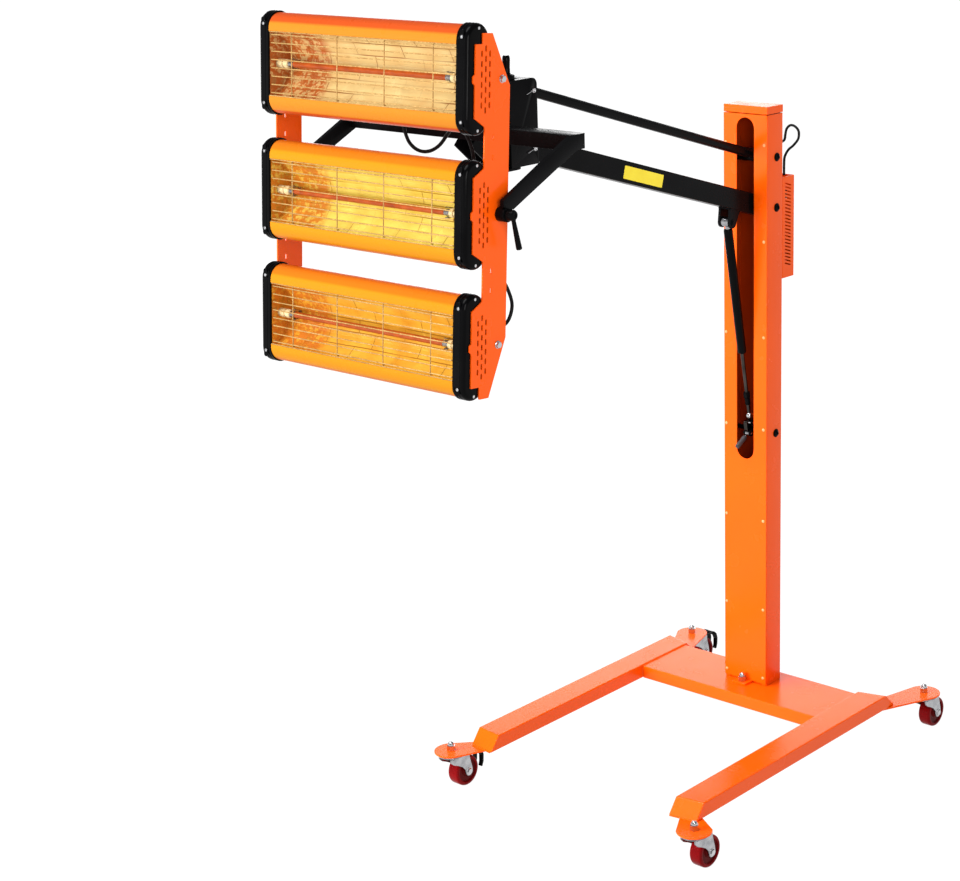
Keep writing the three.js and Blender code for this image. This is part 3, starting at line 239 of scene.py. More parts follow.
# A darker copy of the orange for the column's inner faces: painted shade.
SHADED_INSIDE_ORANGE = surface("orange_painted_shade_inside", (0.34, 0.028, 0.001), (0.40, 0.034, 0.001), (0.3, 0.4), 5, 1100, 0.14, 0.08)
PEACH = surface("painted_screw", (0.90, 0.30, 0.12), (0.95, 0.38, 0.16), (0.2, 0.3), 80, 900, 0.05)
BLACK = surface("black_satin_paint", (0.0022, 0.0022, 0.0024), (0.0034, 0.0034, 0.0038), (0.20, 0.30), 12, 1300,
                0.2, 0.04)
GLOSS = surface("black_gloss_plastic", (0.0012, 0.0012, 0.0014), (0.002, 0.002, 0.0022), (0.08, 0.14), 20, 700,
                0.04, 0.045)
MATT = surface("black_matt_plastic", (0.003, 0.003, 0.0033), (0.005, 0.005, 0.0055), (0.42, 0.55), 20, 1600, 0.3,
               0.1)
RUBBER = surface("black_cable_rubber", grey(0.003), grey(0.005), (0.36, 0.48), 40, 1500, 0.25, 0.1)
GREY = surface("grey_grip", (0.035, 0.036, 0.04), (0.055, 0.055, 0.06), (0.4, 0.55), 60, 1500, 0.25, 0.25)
RED = surface("red_polyurethane", (0.14, 0.002, 0.003), (0.19, 0.003, 0.004), (0.10, 0.18), 30, 400, 0.05, 0.045)
CORE = surface("red_wheel_core", (0.07, 0.002, 0.002), (0.10, 0.003, 0.003), (0.22, 0.34), 30, 500, 0.06, 0.045)
CERAMIC = surface("white_ceramic", (0.48, 0.36, 0.18), (0.58, 0.46, 0.25), (0.45, 0.6), 80, 1800, 0.2, 0.3)
YELLOW = surface("yellow_film", (0.90, 0.70, 0.02), (0.95, 0.76, 0.03), (0.3, 0.4), 30, 900, 0.05, 0.3)
WIRE = surface("bright_wire", (0.36, 0.20, 0.06), (0.46, 0.29, 0.10), (0.2, 0.32), 50, 900, 0.05, 0.3, metal=0.4)
ZINC = surface("bright_zinc", (0.30, 0.305, 0.32), (0.46, 0.465, 0.48), (0.20, 0.34), 60, 700, 0.1, metal=1,
               streak=(1, 1, 3))
CHROME = surface("nickel_plate", (0.46, 0.46, 0.47), (0.56, 0.56, 0.57), (0.08, 0.16), 40, 500, 0.03, metal=1)
# A darker copy of the nickel for the piston rod: the dark slot's reflection, painted in.
ROD_PAINTED_REFLECTION = surface("nickel_rod_painted_dark_reflection", (0.035, 0.030, 0.027), (0.065, 0.056, 0.050), (0.16, 0.26), 40, 600, 0.05,
               metal=1)
GLASS = glass_finish()
# Each housing's back, middle and lip tones. The middle and lip tones are painted lamp light, and they differ from
# level to level.
HOUSINGS = {level: housing_finish(level, *tones) for level, *tones in (
    ("top", (0.50, 0.048, 0.003), (0.37, 0.050, 0.008), (0.40, 0.135, 0.012)),
    ("middle", (0.50, 0.052, 0.003), (0.41, 0.105, 0.005), (0.41, 0.155, 0.006)),
    ("bottom", (0.50, 0.052, 0.003), (0.41, 0.100, 0.005), (0.41, 0.150, 0.006)))}
# Each reflector's two tones, tinted by its lamp's light, and the tone of its painted shade and reflections.
MIRRORS = {level: reflector_finish(level, *tones) for level, *tones in (
    ("top", (0.44, 0.27, 0.095), (0.50, 0.37, 0.155), (0.29, 0.068, 0.012)),
    ("middle", (0.48, 0.32, 0.040), (0.54, 0.42, 0.075), (0.40, 0.125, 0.010)),
    ("bottom", (0.48, 0.20, 0.014), (0.54, 0.29, 0.026), (0.40, 0.110, 0.008)))}

# A piece's slot name and its materials, which the shapes pick by number
PAINTED = ("orange_paint", ORANGE)
BLACKED = ("black_paint", BLACK)
BOLTED = ("black_paint", BLACK, CHROME)
PLATED = ("zinc_plate", CHROME)
MOULDED = ("black_plastic", GLOSS)


# Shapes: each function gives points in millimetres and faces. A third entry, 0 where it is left out, is the
# number of the material, or one number for each face.

BOX_FACES = [[0, 1, 3, 2], [4, 6, 7, 5], [0, 4, 5, 1], [2, 3, 7, 6], [0, 2, 6, 4], [1, 5, 7, 3]]


def box(x0, x1, y0, y1, z0, z1):
    return [(x, y, z) for x in (x0, x1) for y in (y0, y1) for z in (z0, z1)], BOX_FACES


AXES = {
    "X": lambda r, a, t: (a, r * cos(t), r * sin(t)),
    "Y": lambda r, a, t: (r * sin(t), a, r * cos(t)),
    "Z": lambda r, a, t: (r * cos(t), r * sin(t), a),
}


def turned(profile, axis="Z", sides=32, at=(0, 0, 0), side=1, closed=False):
    """A profile of (radius, place along the axis), turned round the axis. A radius of 0 closes an end, and a
    side of -1 turns the profile's direction round."""
    points, rows, faces = [], [], []
    for radius, along in profile:
        count = sides if radius else 1
        rows.append(range(len(points), len(points) + count))
        points += [Vector(AXES[axis](radius, side * along, 2 * pi * k / sides)) + Vector(at) for k in range(count)]
    for low, high in zip(rows, rows[1:] + rows[:closed]):
        for k in range(sides):
            n = (k + 1) % sides
            corners = (low[k % len(low)], low[n % len(low)], high[n % len(high)], high[k % len(high)])
            faces.append(list(dict.fromkeys(corners)))
    return points, faces


def ring(profile, axis="Z", sides=32, at=(0, 0, 0)):
    """A turned profile whose end joins its start."""
    return turned(profile, axis, sides, at, closed=True)


def both_ways(profile):
    """Half a turned profile and its mirror image along the axis."""
    return profile + [(r, -a) for r, a in reversed(profile)]


def cylinder(radius, a, b, axis="Z", sides=32, at=(0, 0, 0), chamfer=0.0):
    r, c = radius, chamfer
    wall = [(r - c, a), (r, a + c), (r, b - c), (r - c, b)] if c else [(r, a), (r, b)]
    return turned([(0, a), *wall, (0, b)], axis, sides, at)


def plate(outline, a, b, axis="X", holes=()):
    """An outline with holes, given a thickness from a to b along an axis."""
    def lift(u, v, w):
        return {"X": (w, u, v), "Y": (u, w, v), "Z": (u, v, w)}[axis]
    loops = [list(outline), *[list(h) for h in holes]]
    flat = [p for l in loops for p in l]
    total = len(flat)
    cap = [list(range(total))]
    if holes:
        cap = [list(t) for t in tessellate_polygon([[Vector((u, v, 0)) for u, v in l] for l in loops])]
    faces = [[total + i for i in f] for f in cap] + [f[::-1] for f in cap]
    start = 0
    for loop in loops:
        n = len(loop)
        for i, j in zip(range(n), [*range(1, n), 0]):
            faces.append([start + i, start + j, total + start + j, total + start + i])
        start += n
    return [lift(u, v, w) for w in (a, b) for u, v in flat], faces


def arc(u, v, radius, start, end, steps):
    return [(u + radius * cos(start + (end - start) * k / steps),
             v + radius * sin(start + (end - start) * k / steps)) for k in range(steps + 1)]


def rect(u0, u1, v0, v1):
    return [(u0, v0), (u1, v0), (u1, v1), (u0, v1)]


def stadium(width, height, steps, u=0.0, v=0.0):
    """An upright slot shape with round ends."""
    r = width / 2
    s = height / 2 - r
    return arc(u, v + s, r, 0, pi, steps) + arc(u, v - s, r, pi, 2 * pi, steps)


def rounded(corners, radius, steps=5):
    """An outline whose corners are rounded. radius is one number, or one for each corner."""
    radii = radius if isinstance(radius, list) else [radius] * len(corners)
    points = [Vector(c) for c in corners]
    out = []
    for i, (p, r) in enumerate(zip(points, radii)):
        before, after = points[i - 1] - p, points[(i + 1) % len(points)] - p
        angle = before.angle(after)
        if r <= 0 or angle > pi - 0.02:
            out.append(tuple(p))
            continue
        cut = min(r / tan(angle / 2), before.length * 0.49, after.length * 0.49)
        start, end = p + before.normalized() * cut, p + after.normalized() * cut
        for t in (k / steps for k in range(steps + 1)):
            out.append(tuple(start * (1 - t) ** 2 + p * 2 * t * (1 - t) + end * t ** 2))
    return out


def smooth_path(points, per=6):
    """A centripetal Catmull-Rom curve through the points."""
    pts = [Vector(p) for p in points]
    ends = [pts[0] * 2 - pts[1], *pts, pts[-1] * 2 - pts[-2]]
    out = []
    for i in range(1, len(ends) - 2):
        near = ends[i - 1:i + 3]
        knots = [0.0]
        for a, b in zip(near, near[1:]):
            knots.append(knots[-1] + max((b - a).length ** 0.5, 1e-4))
        for k in range(per):
            t = knots[1] + (knots[2] - knots[1]) * k / per
            level = near
            for spans in (((0, 1), (1, 2), (2, 3)), ((0, 2), (1, 3)), ((1, 2),)):
                level = [p.lerp(q, (t - knots[a]) / (knots[b] - knots[a]))
                         for p, q, (a, b) in zip(level, level[1:], spans)]
            out.append(level[0])
    return [*out, pts[-1]]


def handle(origin, ahead, stations):
    """A grip on a line, from pairs of a distance and a radius."""
    return sweep([origin + ahead * at for at, r in stations], [r for at, r in stations], 24)


def lofted(rows, closed=False):
    """Loops of points, each joined to the next. The last joins the first, or else the two end loops are filled."""
    n, total = len(rows[0]), len(rows)
    faces = []
    for i in range(total if closed else total - 1):
        a, b = i * n, (i + 1) % total * n
        faces += [[a + k, a + (k + 1) % n, b + (k + 1) % n, b + k] for k in range(n)]
    if not closed:
        faces += [list(range(n))[::-1], [(total - 1) * n + k for k in range(n)]]
    return [p for row in rows for p in row], faces


def sweep(points, radius, sides=12, closed=False):
    """A round bar along points, whose radius is one number or one for each point."""
    pts = [Vector(p) for p in points]
    radii = radius if isinstance(radius, list) else [radius] * len(pts)
    around = [pts[-1], *pts, pts[0]] if closed else [pts[0], *pts, pts[-1]]
    rows, side = [], None
    for before, p, after, r in zip(around, pts, around[2:], radii):
        tangent = (after - before).normalized()
        side = side or tangent.orthogonal().normalized()
        side = (side - tangent * side.dot(tangent)).normalized()
        up = tangent.cross(side)
        rows.append([p + (side * cos(a) + up * sin(a)) * r for a in (2 * pi * k / sides for k in range(sides))])
    return lofted(rows, closed)


def mirrored(shapes, side):
    """The shapes as they are for the right side, or with x turned round for the left."""
    if side > 0:
        return shapes
    return [([(-x, y, z) for x, y, z in points], *rest) for points, *rest in shapes]


def new_mesh(name, shapes, place, materials=(), field=None):
    """One mesh from shapes, with its faces turned outwards."""
    points, faces, slots = [], [], []
    for more_points, more_faces, *slot in shapes:
        base = len(points)
        number = slot[0] if slot else 0
        points += [Vector(p) for p in more_points]
        faces += [[base + i for i in f] for f in more_faces]
        slots += number if isinstance(number, list) else [number] * len(more_faces)
    mesh = bpy.data.meshes.new(name)
    mesh.from_pydata([place @ p for p in points], [], faces)
    for material in materials:
        mesh.materials.append(material)
    mesh.polygons.foreach_set("material_index", slots)
    if field:
        layer = mesh.attributes.new(field[0], "FLOAT", "POINT")
        layer.data.foreach_set("value", [field[1](p) for p in points])
    work = bmesh.new()
    work.from_mesh(mesh)
    bmesh.ops.recalc_face_normals(work, faces=work.faces)
    work.to_mesh(mesh)
    work.free()
    mesh.validate()
    mesh.shade_smooth()
    return mesh


def piece(name, shapes, on, look, node=None, bevel=0.0, steps=2, sharp=35.0, field=None):
    """Makes one object and puts it on a body. node is the CAD node that it replaces, and field the name of a
    number that each point carries, with the function that gives it."""
    (place, body), (slot, *materials) = on, look
    made = new_object(name, new_mesh(name, shapes, place, materials, field))
    if bevel:
        soften(made, bevel, steps, sharp)
    else:
        made.data.set_sharp_from_angle(angle=radians(sharp))
    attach(made, body)
    if node:
        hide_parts(node)
    return made


def soften(made, width, steps=2, sharp=35.0):
    edge = made.modifiers.new("edges", "BEVEL")
    edge.width = width * MM
    edge.segments = steps
    edge.limit_method, edge.angle_limit = "ANGLE", radians(sharp)
    edge.harden_normals = True
    edge.miter_outer = "MITER_ARC"


def dress(node, material, width, steps=2, sharp=35.0):
    """Gives a CAD node its finish and rounds its edges."""
    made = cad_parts[node]
    made.data.materials.clear()
    made.data.materials.append(material)
    for polygon in made.data.polygons:
        polygon.use_smooth = True
    made.modifiers.new("weld", "WELD").merge_threshold = 0.00002
    flat = made.modifiers.new("flats", "DECIMATE")
    flat.decimate_type, flat.angle_limit = "DISSOLVE", radians(1.0)
    soften(made, width, steps, sharp)


def carve(made, shapes, place):
    """Cuts shapes out of a piece, under its bevel."""
    cutter = new_object("cutter", new_mesh("cutter", shapes, place))
    edge = made.modifiers["edges"]
    edge.show_viewport = False
    cut = made.modifiers.new("cut", "BOOLEAN")
    cut.object, cut.operation, cut.solver = cutter, "DIFFERENCE", "EXACT"
    ready = made.evaluated_get(bpy.context.evaluated_depsgraph_get())
    made.data = bpy.data.meshes.new_from_object(ready)
    made.modifiers.remove(cut)
    edge.show_viewport = True
    bpy.data.objects.remove(cutter)


# Small hardware. side is +1 or -1 along the axis, and at is the point that a head sits on.

def washer(radius, rim, side, at):
    return turned([(0, 0), (radius, 0), (radius, 1.0), (radius - rim, 1.4), (0, 1.4)], "X", 32, at, side)


def dome_nut(x, y, z):
    """A tall cap nut: a hexagon with chamfered corners under a rounded dome."""
    r, top, dome = 15 / sqrt(3), z + 11.5, 6.6
    cap = [(dome * cos(a), top + 7.4 * sin(a)) for a in (pi / 2 * k / 8 for k in range(8))]
    hexagon = [(0, z), (r * 0.94, z), (r, z + 0.7), (r, top - 1.0), (r * 0.88, top), (0, top)]
    return [turned(hexagon, "Z", 6, (x, y, 0)), turned([(0, top - 1), (dome, top - 1), *cap, (0, top + 7.4)],
                                                       at=(x, y, 0))]


def cap_head(side, at):
    """A button head with a hexagon socket on a washer."""
    base, radius, height = 1.4, 6.6, 5.6
    crown = [(radius * cos(radians(d)), base + (height - base) * sin(radians(d))) for d in (0, 20, 38, 52)]
    socket = radius * 0.42
    profile = [(0, base), *crown, (socket, height), (socket * 0.98, height - 1.6), (0, height - 1.9)]
    return [washer(8.5, 0.5, side, at), turned(profile, "X", 24, at, side)]


def through_bolt(y, z):
    """A bolt across the column with a button head at each end."""
    half = 52.8
    return [cylinder(5, -half, half, "X", 24, (0, y, z)), *cap_head(-1, (-half - 0.05, y, z)),
            *cap_head(1, (half + 0.05, y, z))]


def hex_head(side, at, flats, height, base=0.0):
    r = flats / sqrt(3)
    return turned([(0, base), (r, base), (r, height - 0.9), (r * 0.86, height), (0, height)], "X", 6, at, side)


def pan_screw(axis, side, at, radius=3.2, height=1.9):
    crown = [(radius * cos(radians(d)), height * sin(radians(d))) for d in (0, 25, 50, 68)]
    recess = [(radius * 0.22, height * 0.98), (radius * 0.16, height * 0.55), (0, height * 0.5)]
    return turned([(0, 0), *crown, *recess], axis, 16, at, side)


# Cables come first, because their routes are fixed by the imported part
COLUMN_CABLE = [(54.4, 1246.5), (66, 1246.5), (77, 1250), (80, 1260), (84, 1270), (96, 1275.6), (113, 1271.5),
                (126, 1260), (125, 1246), (108, 1234.5), (90, 1227.5), (78, 1215.5), (76, 1200), (76, 1179.3)]
HARNESS = [(14, -24.4, 158), (14, -14, 158), (14, 0, 148), (15, 8, 126), (19, 10, 109), (28, 10, 94),
           (42, 10, 84.5), (58, 10, 81), (76, 10, 83.5), (93, 10, 92), (104, 10, 102), (114, 9, 113), (130, 6, 124),
           (152, 6, 120), (168, 6, 98), (174, 8, 70), (176, 8, 40), (178, 8, 0), (184, 10, -44), (192, 22, -80),
           (198, 44, -106), (200, 62, -130), (200, 73, -158), (200, 63, -182), (199, 42, -190), (196, 18, -186),
           (194, -4, -184), (193, -14, -184), (193, -24.4, -184)]


def cable(name, points, on, radius, node):
    place, body = on
    path = [place @ p for p in smooth_path(points)]
    data = bpy.data.curves.new(name, "CURVE")
    data.dimensions = "3D"
    data.bevel_depth, data.bevel_resolution = radius * MM, 4
    data.use_fill_caps = True
    line = data.splines.new("POLY")
    line.points.add(len(path) - 1)
    for point, at in zip(line.points, path):
        point.co = (*at, 1)
    line.use_smooth = True
    data.materials.append(RUBBER)
    made = new_object(name, data)
    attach(made, body)
    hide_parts(node)


cable("rear_cable_loop", [(40, y, z) for y, z in COLUMN_CABLE], BASE, 2.6, "column_cable")
cable("head_cable_harness", HARNESS, ON_HEAD, 3.0, "head_harness")


# Base

LEG_BOTTOM, LEG_TOP, LEG_MIDDLE = 85.0, 115.0, 253.5
LEG_FRONT, LEG_REAR = -548, 128.5
PAD_X, PAD_ROOTS = 298, (-519, 96)
NUTS = {"left": (-588, 205), "right": (-570, 229)}


def leg_tube(side):
    """A rectangular tube with mitred ends, which lean inwards over its height."""
    ends = ((LEG_FRONT, 24, 8), (LEG_REAR, -31.5, 16))
    points = [(side * LEG_MIDDLE + x, y + lean * (z > LEG_BOTTOM) + skew * side * x / 60, z)
              for x in (-30, 30) for y, lean, skew in ends for z in (LEG_BOTTOM, LEG_TOP)]
    return points, BOX_FACES


def pad(side, nut_y, root_y):
    x, root = side * PAD_X, side * LEG_MIDDLE
    reach = 23 * copysign(1, nut_y)
    away = atan2(nut_y - root_y, x - root)
    loop = arc(x, nut_y, 34, away - pi / 2, away + pi / 2, 28)
    return plate([*loop, (root - reach, root_y), (root + reach, root_y)], 81.5, LEG_BOTTOM + 0.1, "Z")


def weld_bead(start, end, radius):
    """A row of overlapping ripples along a seam."""
    a, b = Vector(start), Vector(end)
    ripples = max(int((b - a).length / 3.0), 2)
    shares = [k / (ripples * 4) for k in range(ripples * 4 + 1)]
    radii = [radius * (0.82 + 0.18 * abs(sin(pi * ripples * t))) for t in shares]
    return sweep([a.lerp(b, t) for t in shares], radii, 8)


for name, side in SIDES:
    piece(f"{name}_leg_tube", [leg_tube(side)], BASE, PAINTED, f"{name}_leg", 2.4, 4)
    piece(f"{name}_caster_plates", [pad(side, *ys) for ys in zip(NUTS[name], PAD_ROOTS)], BASE, PAINTED, bevel=0.8)
    inner, middle = side * (LEG_MIDDLE - 30), side * LEG_MIDDLE
    seams = [((inner, -65, 111), (inner, 82, 111), 2.0)]
    seams += [((inner, y, 88), (inner, y, 110), 1.8) for y in (-67.5, 84.5)]
    seams += [((middle - 27, y - skew * side, 85.6), (middle + 27, y + skew * side, 85.6), 1.6)
              for y, skew in ((LEG_FRONT, 4), (LEG_REAR, 8))]
    piece(f"{name}_leg_welds", [weld_bead(*seam) for seam in seams], BASE, PAINTED, sharp=60)
    nuts = []
    for y in NUTS[name]:
        nuts += [*dome_nut(side * PAD_X, y, LEG_BOTTOM), cylinder(6, 73, 82, at=(side * PAD_X, y, 0))]
    piece(f"{name}_dome_nuts", nuts, BASE, PLATED, sharp=28)

piece("cross_beam_box", [box(-223.2, 223.2, -67, 84, LEG_BOTTOM, 112)], BASE, PAINTED, "cross_beam", 1.8, 3)


# Casters, each in the frame of its swivel: the fork trails towards +y

CROWN_TOP, CROWN_BOTTOM = 81.2, 73.2
TRAIL, WHEEL_R = 32, 31.7
AXLE = (0, TRAIL, WHEEL_R)
CHEEK_IN, CHEEK_OUT = 15, 17.5


def caster_fork():
    top, low = CROWN_TOP, CROWN_BOTTOM
    steps = [(0, 0), (28.2, 0), (29, 0.8), (29, 2.4), (27.6, 3), (27.6, 3.8), (28.4, 4.2), (28.0, 5.6), (25, 6.8)]
    crown = [(r, top - drop) for r, drop in steps] + [(22.5, low - 0.2), (0, low - 0.2)]
    loop = [(-20, low + 0.6), (-19, 67), (-12, 60), (1, 54), (13, 47), (21, 38)]
    loop += arc(TRAIL, WHEEL_R, 9.5, radians(200), radians(368), 14)
    loop = rounded(loop + [(40.5, 40), (38, 49), (35.5, 58), (34, 66), (33, low + 0.6)], 2.0, 3)
    return [turned(crown, sides=48), plate(loop, -CHEEK_OUT, -CHEEK_IN), plate(loop, CHEEK_IN, CHEEK_OUT),
            box(-CHEEK_OUT, CHEEK_OUT, -15, 30, low - 2.2, low + 0.4)]


def caster_hardware():
    shapes = [cylinder(4, -CHEEK_OUT, CHEEK_OUT, "X", 20, AXLE)]
    for side in (-1, 1):
        at = (side * CHEEK_OUT, TRAIL, WHEEL_R)
        shapes += [hex_head(side, at, 11.6, 3.0),
                   turned([(8.2, 0), (8.2, 0.7), (6.8, 0.9), (0, 0.9)], "X", 28, at, side)]
    return [*shapes, cylinder(9, 66, 71, "Z", 6, chamfer=0.6)]


def caster_wheel():
    edge = -13.5
    tread = [(WHEEL_R - 5 + 5 * sin(radians(a)), edge + 5 - 5 * cos(radians(a))) for a in range(0, 91, 15)]
    tyre = [(23.5, edge + 2.2), (24.4, edge + 0.3), *tread]
    core = [(4.4, edge), (10.5, edge), (11.5, edge + 0.8), (12.5, edge + 3.4), (22, edge + 3.4), (24, edge + 1.8)]
    hub = [(4.2, edge - 1.2), (7, edge - 1.2)]
    return [(*ring(both_ways(half), "X", sides, AXLE), slot)
            for slot, (half, sides) in enumerate(((tyre, 72), (core, 60), (hub, 28)))]


def brake_pedal():
    z = CROWN_BOTTOM - 5
    tab = rounded([(24, z - 1), (62, z), (72, z - 8), (72, z - 5.2), (64, z + 2.4), (24, z + 2.2)], 1.2, 3)
    hook = rounded([(58, z + 1.4), (68, z + 0.8), (76, z - 6), (80, z - 18), (79, z - 33), (75, z - 43), (71, z - 42),
                    (74, z - 32), (74, z - 18), (69, z - 8), (58, z - 3)], 1.5, 3)
    bead = [(78.6, z - 13), (80.4, z - 19), (80, z - 29), (78.5, z - 36)]
    return [cylinder(3, -14.6, 14.6, "X", 20, (0, 24, z), 0.4), plate(tab, -13, 13),
            *[cylinder(0.9, -11, 11, "X", 10, (0, 46 + 4.5 * k, z + 2.5), 0.3) for k in range(4)],
            plate(hook, -13, -5), plate(hook, 5, 13),
            *[(*sweep([(x, *p) for p in bead], 1.2, 10), 1) for x in (-9, 9)]]


for row in (0, 1):
    for name, side in SIDES:
        corner = ("front", "rear")[row] + "_" + name
        spot = frame_at(side * PAD_X, NUTS[name][row], 0.25)
        swivel, wheel = (spot, f"{corner}_caster"), (spot, f"{corner}_wheel")
        piece(f"{corner}_fork_pressing", caster_fork(), swivel, ("zinc_plate", ZINC), f"{corner}_caster_fork", 0.5)
        piece(f"{corner}_axle_bolt", caster_hardware(), swivel, PLATED)
        piece(f"{corner}_tyre_and_core", caster_wheel(), wheel, ("red_wheel", RED, CORE, ZINC),
              f"{corner}_caster_wheel", sharp=32)
        if side < 0:
            piece(f"{corner}_pedal_pressing", brake_pedal(), (spot, f"{corner}_pedal"), BOLTED,
                  f"{corner}_brake_pedal", 0.4)


# Column

COLUMN_HALF, COLUMN_DEPTH = 52.5, 54
SHELL_BOTTOM, SHELL_TOP, COLUMN_TOP = 112.3, 1306.7, 1323
SLOT_BOTTOM, SLOT_TOP = 602.5, 1299.6


def column_channel():
    """The folded sheet. Its inner faces take a darker copy of the orange paint: painted shade inside the channel."""
    h, w, d = COLUMN_HALF, 2.0, COLUMN_DEPTH
    front, lip = 2.3, h - 12
    corners = [(-h, front), (-lip, front), (-lip, front + w), (-h + w, front + w), (-h + w, d - w),
               (h - w, d - w), (h - w, front + w), (lip, front + w), (lip, front), (h, front), (h, d), (-h, d)]
    radii = [2.4, 0.4, 0.4, 0.6, 0.8, 0.8, 0.6, 0.4, 0.4, 2.4, 2.8, 2.8]
    points, faces = plate(rounded(corners, radii, 4), SHELL_BOTTOM, SHELL_TOP, "Z")
    slots = []
    for face in faces:
        x, y, z = sum((Vector(points[i]) for i in face), Vector()) / len(face)
        slots.append(int(abs(x) < 50.7 and 4.2 < y < 52.2 and SHELL_BOTTOM + 5 < z))
    return points, faces, slots


tab = rounded(rect(-17, 17, -24, 6), [4, 4, 0, 0])
piece("column_channel", [column_channel(), box(-50.6, 50.6, 4.4, 52.2, SHELL_BOTTOM, SHELL_BOTTOM + 4),
                         plate(tab, SHELL_BOTTOM, SHELL_BOTTOM + 4, "Z")],
      BASE, ("orange_paint", ORANGE, SHADED_INSIDE_ORANGE), "column_shell", 0.4, 2, 50)
h = COLUMN_HALF
slot_hole = stadium(42, SLOT_TOP - SLOT_BOTTOM, 24, 0, (SLOT_TOP + SLOT_BOTTOM) / 2)
panel = plate(rect(-h, h, 116.6, SHELL_TOP), 0.0, 2.0, "Y", [slot_hole])
piece("column_slotted_cover", [panel], BASE, PAINTED, "column_front_panel", 0.7, 3, 50)
piece("column_top_cap", [box(-h, h, 0, COLUMN_DEPTH, 1308.2, COLUMN_TOP)], BASE, PAINTED, "column_cap", 1.0, 3)
piece("column_cover_screws", [pan_screw("Y", -1, (x, 0, z)) for z in (129, 281.5, 476, 671, 863, 1057.5, 1248.4)
                              for x in (45.5, -47.5)], BASE, ("orange_paint", PEACH), sharp=30)
piece("column_foot_nut", dome_nut(0, -11, SHELL_BOTTOM + 4), BASE, PLATED, sharp=28)


# Control box

BOX_BOTTOM, BOX_TOP, LID_FRONT = 975, 1179, 92.2
SWITCH_XS, SWITCH_Z = (-28, 0, 28), 1139


def control_box():
    walls = [(-52, 54.3), (52, 54.3), (52, LID_FRONT), (50.5, LID_FRONT), (50.5, 55.8), (-50.5, 55.8),
             (-50.5, LID_FRONT), (-52, LID_FRONT)]
    ends = [box(-50.4, 50.4, 55.9, LID_FRONT, z, z + 1.5) for z in (BOX_BOTTOM, BOX_TOP - 1.5)]
    return [plate(rounded(walls, [1.6, 1.6, 0, 0, 0.8, 0.8, 0, 0], 3), BOX_BOTTOM, BOX_TOP, "Z"), *ends]


def louvres():
    """24 slanted slots through the box's right wall."""
    points, faces = plate(stadium(2.6, 21, 5), 48, 56)
    slant = Matrix.Rotation(pi / 2 + radians(-18), 4, "X")
    return [([Matrix.Translation((0, 73.3, 1163 - 7 * k)) @ slant @ Vector(p) for p in points], faces)
            for k in range(24)]


shell = piece("control_box_louvred_shell", control_box(), BASE, PAINTED, "control_box_shell", 0.3, 2, 50)
carve(shell, louvres(), DRAWN)
gland_at = (0, 74.3, 0)
piece("control_box_gland", [turned([(0, 976), (11.5, 976), (11.5, 971.5), (10, 971), (10, 963), (8.6, 961), (0, 961)],
                                   "Z", 28, gland_at), cylinder(11.2, 964, 969.5, "Z", 6, gland_at, 0.6)],
      BASE, ("black_plastic", MATT), sharp=30)
windows = [rect(x - 7, x + 7, SWITCH_Z - 10, SWITCH_Z + 10) for x in SWITCH_XS]
piece("control_box_lid", [plate(rect(-52, 52, BOX_BOTTOM, BOX_TOP), 92.5, 94, "Y", windows)], BASE, PAINTED,
      "control_box_cover", 0.5, 2, 50)
piece("control_box_lid_screws", [pan_screw("Y", 1, (x, 93.8, z), 3.0, 1.6) for x in (-45, 45)
                                 for z in (983, 1077, 1171)], BASE, BLACKED, sharp=30)
rocker = rounded([(-9, -4.6), (0, -9.2), (3, -9.2), (1.5, 0), (3, 9.2), (0, 9.2), (-9, 4.6)],
                 [0.5, 0.5, 0.8, 6, 0.8, 0.5, 0.5], 4)
for k, x in enumerate(SWITCH_XS, 1):
    piece(f"switch_{k}_rocker", [plate(rocker, -6.7, 6.7)], (frame_at(x, 94, SWITCH_Z), f"switch_{k}"), MOULDED,
          f"lamp_switch_{k}", 0.4)
piece("cable_grommet", [ring([(2.7, 53.9), (6.5, 53.9), (6.5, 55.4), (5.4, 56.6), (3.4, 56.8), (2.7, 56.2)], "Y", 24,
                             (40, 0, 1246.5))], BASE, ("black_cable", RUBBER), sharp=40)


# Arm, link and their bolts

piece("arm_column_bolt", through_bolt(*PIVOT), BASE, BLACKED, "arm_column_pin", sharp=32)
piece("link_column_bolt", through_bolt(*LINK_PIVOT), BASE, BLACKED, "link_column_pin", sharp=32)


def arm_tube():
    front, clevis = (0, -ARM_LENGTH, 0), -CLEVIS_ALONG
    lug = [(clevis + 16, -19.5), (clevis - 16, -19.5), *arc(clevis, -CLEVIS_DROP, 11.5, pi, 2 * pi, 16)]
    outer, inner = rounded(rect(-15, 15, -20, 20), 3.2), rounded(rect(-13, 13, -18, 18), 1.4)
    return [plate(outer, -713, 8, "Y", [inner]),
            box(-13.2, 13.2, -711.5, -709, -18.2, 18.2),
            cylinder(11, -49.7, -15.2, "X", 36, chamfer=0.8), cylinder(11, 15.2, 49.7, "X", 36, chamfer=0.8),
            cylinder(11, -17.2, 17.2, "X", 36, front, 0.5), plate(lug, -14.5, -9.2), plate(lug, 9.2, 14.5),
            box(-13, 13, clevis - 19, clevis + 19, -22.4, -19.8)]


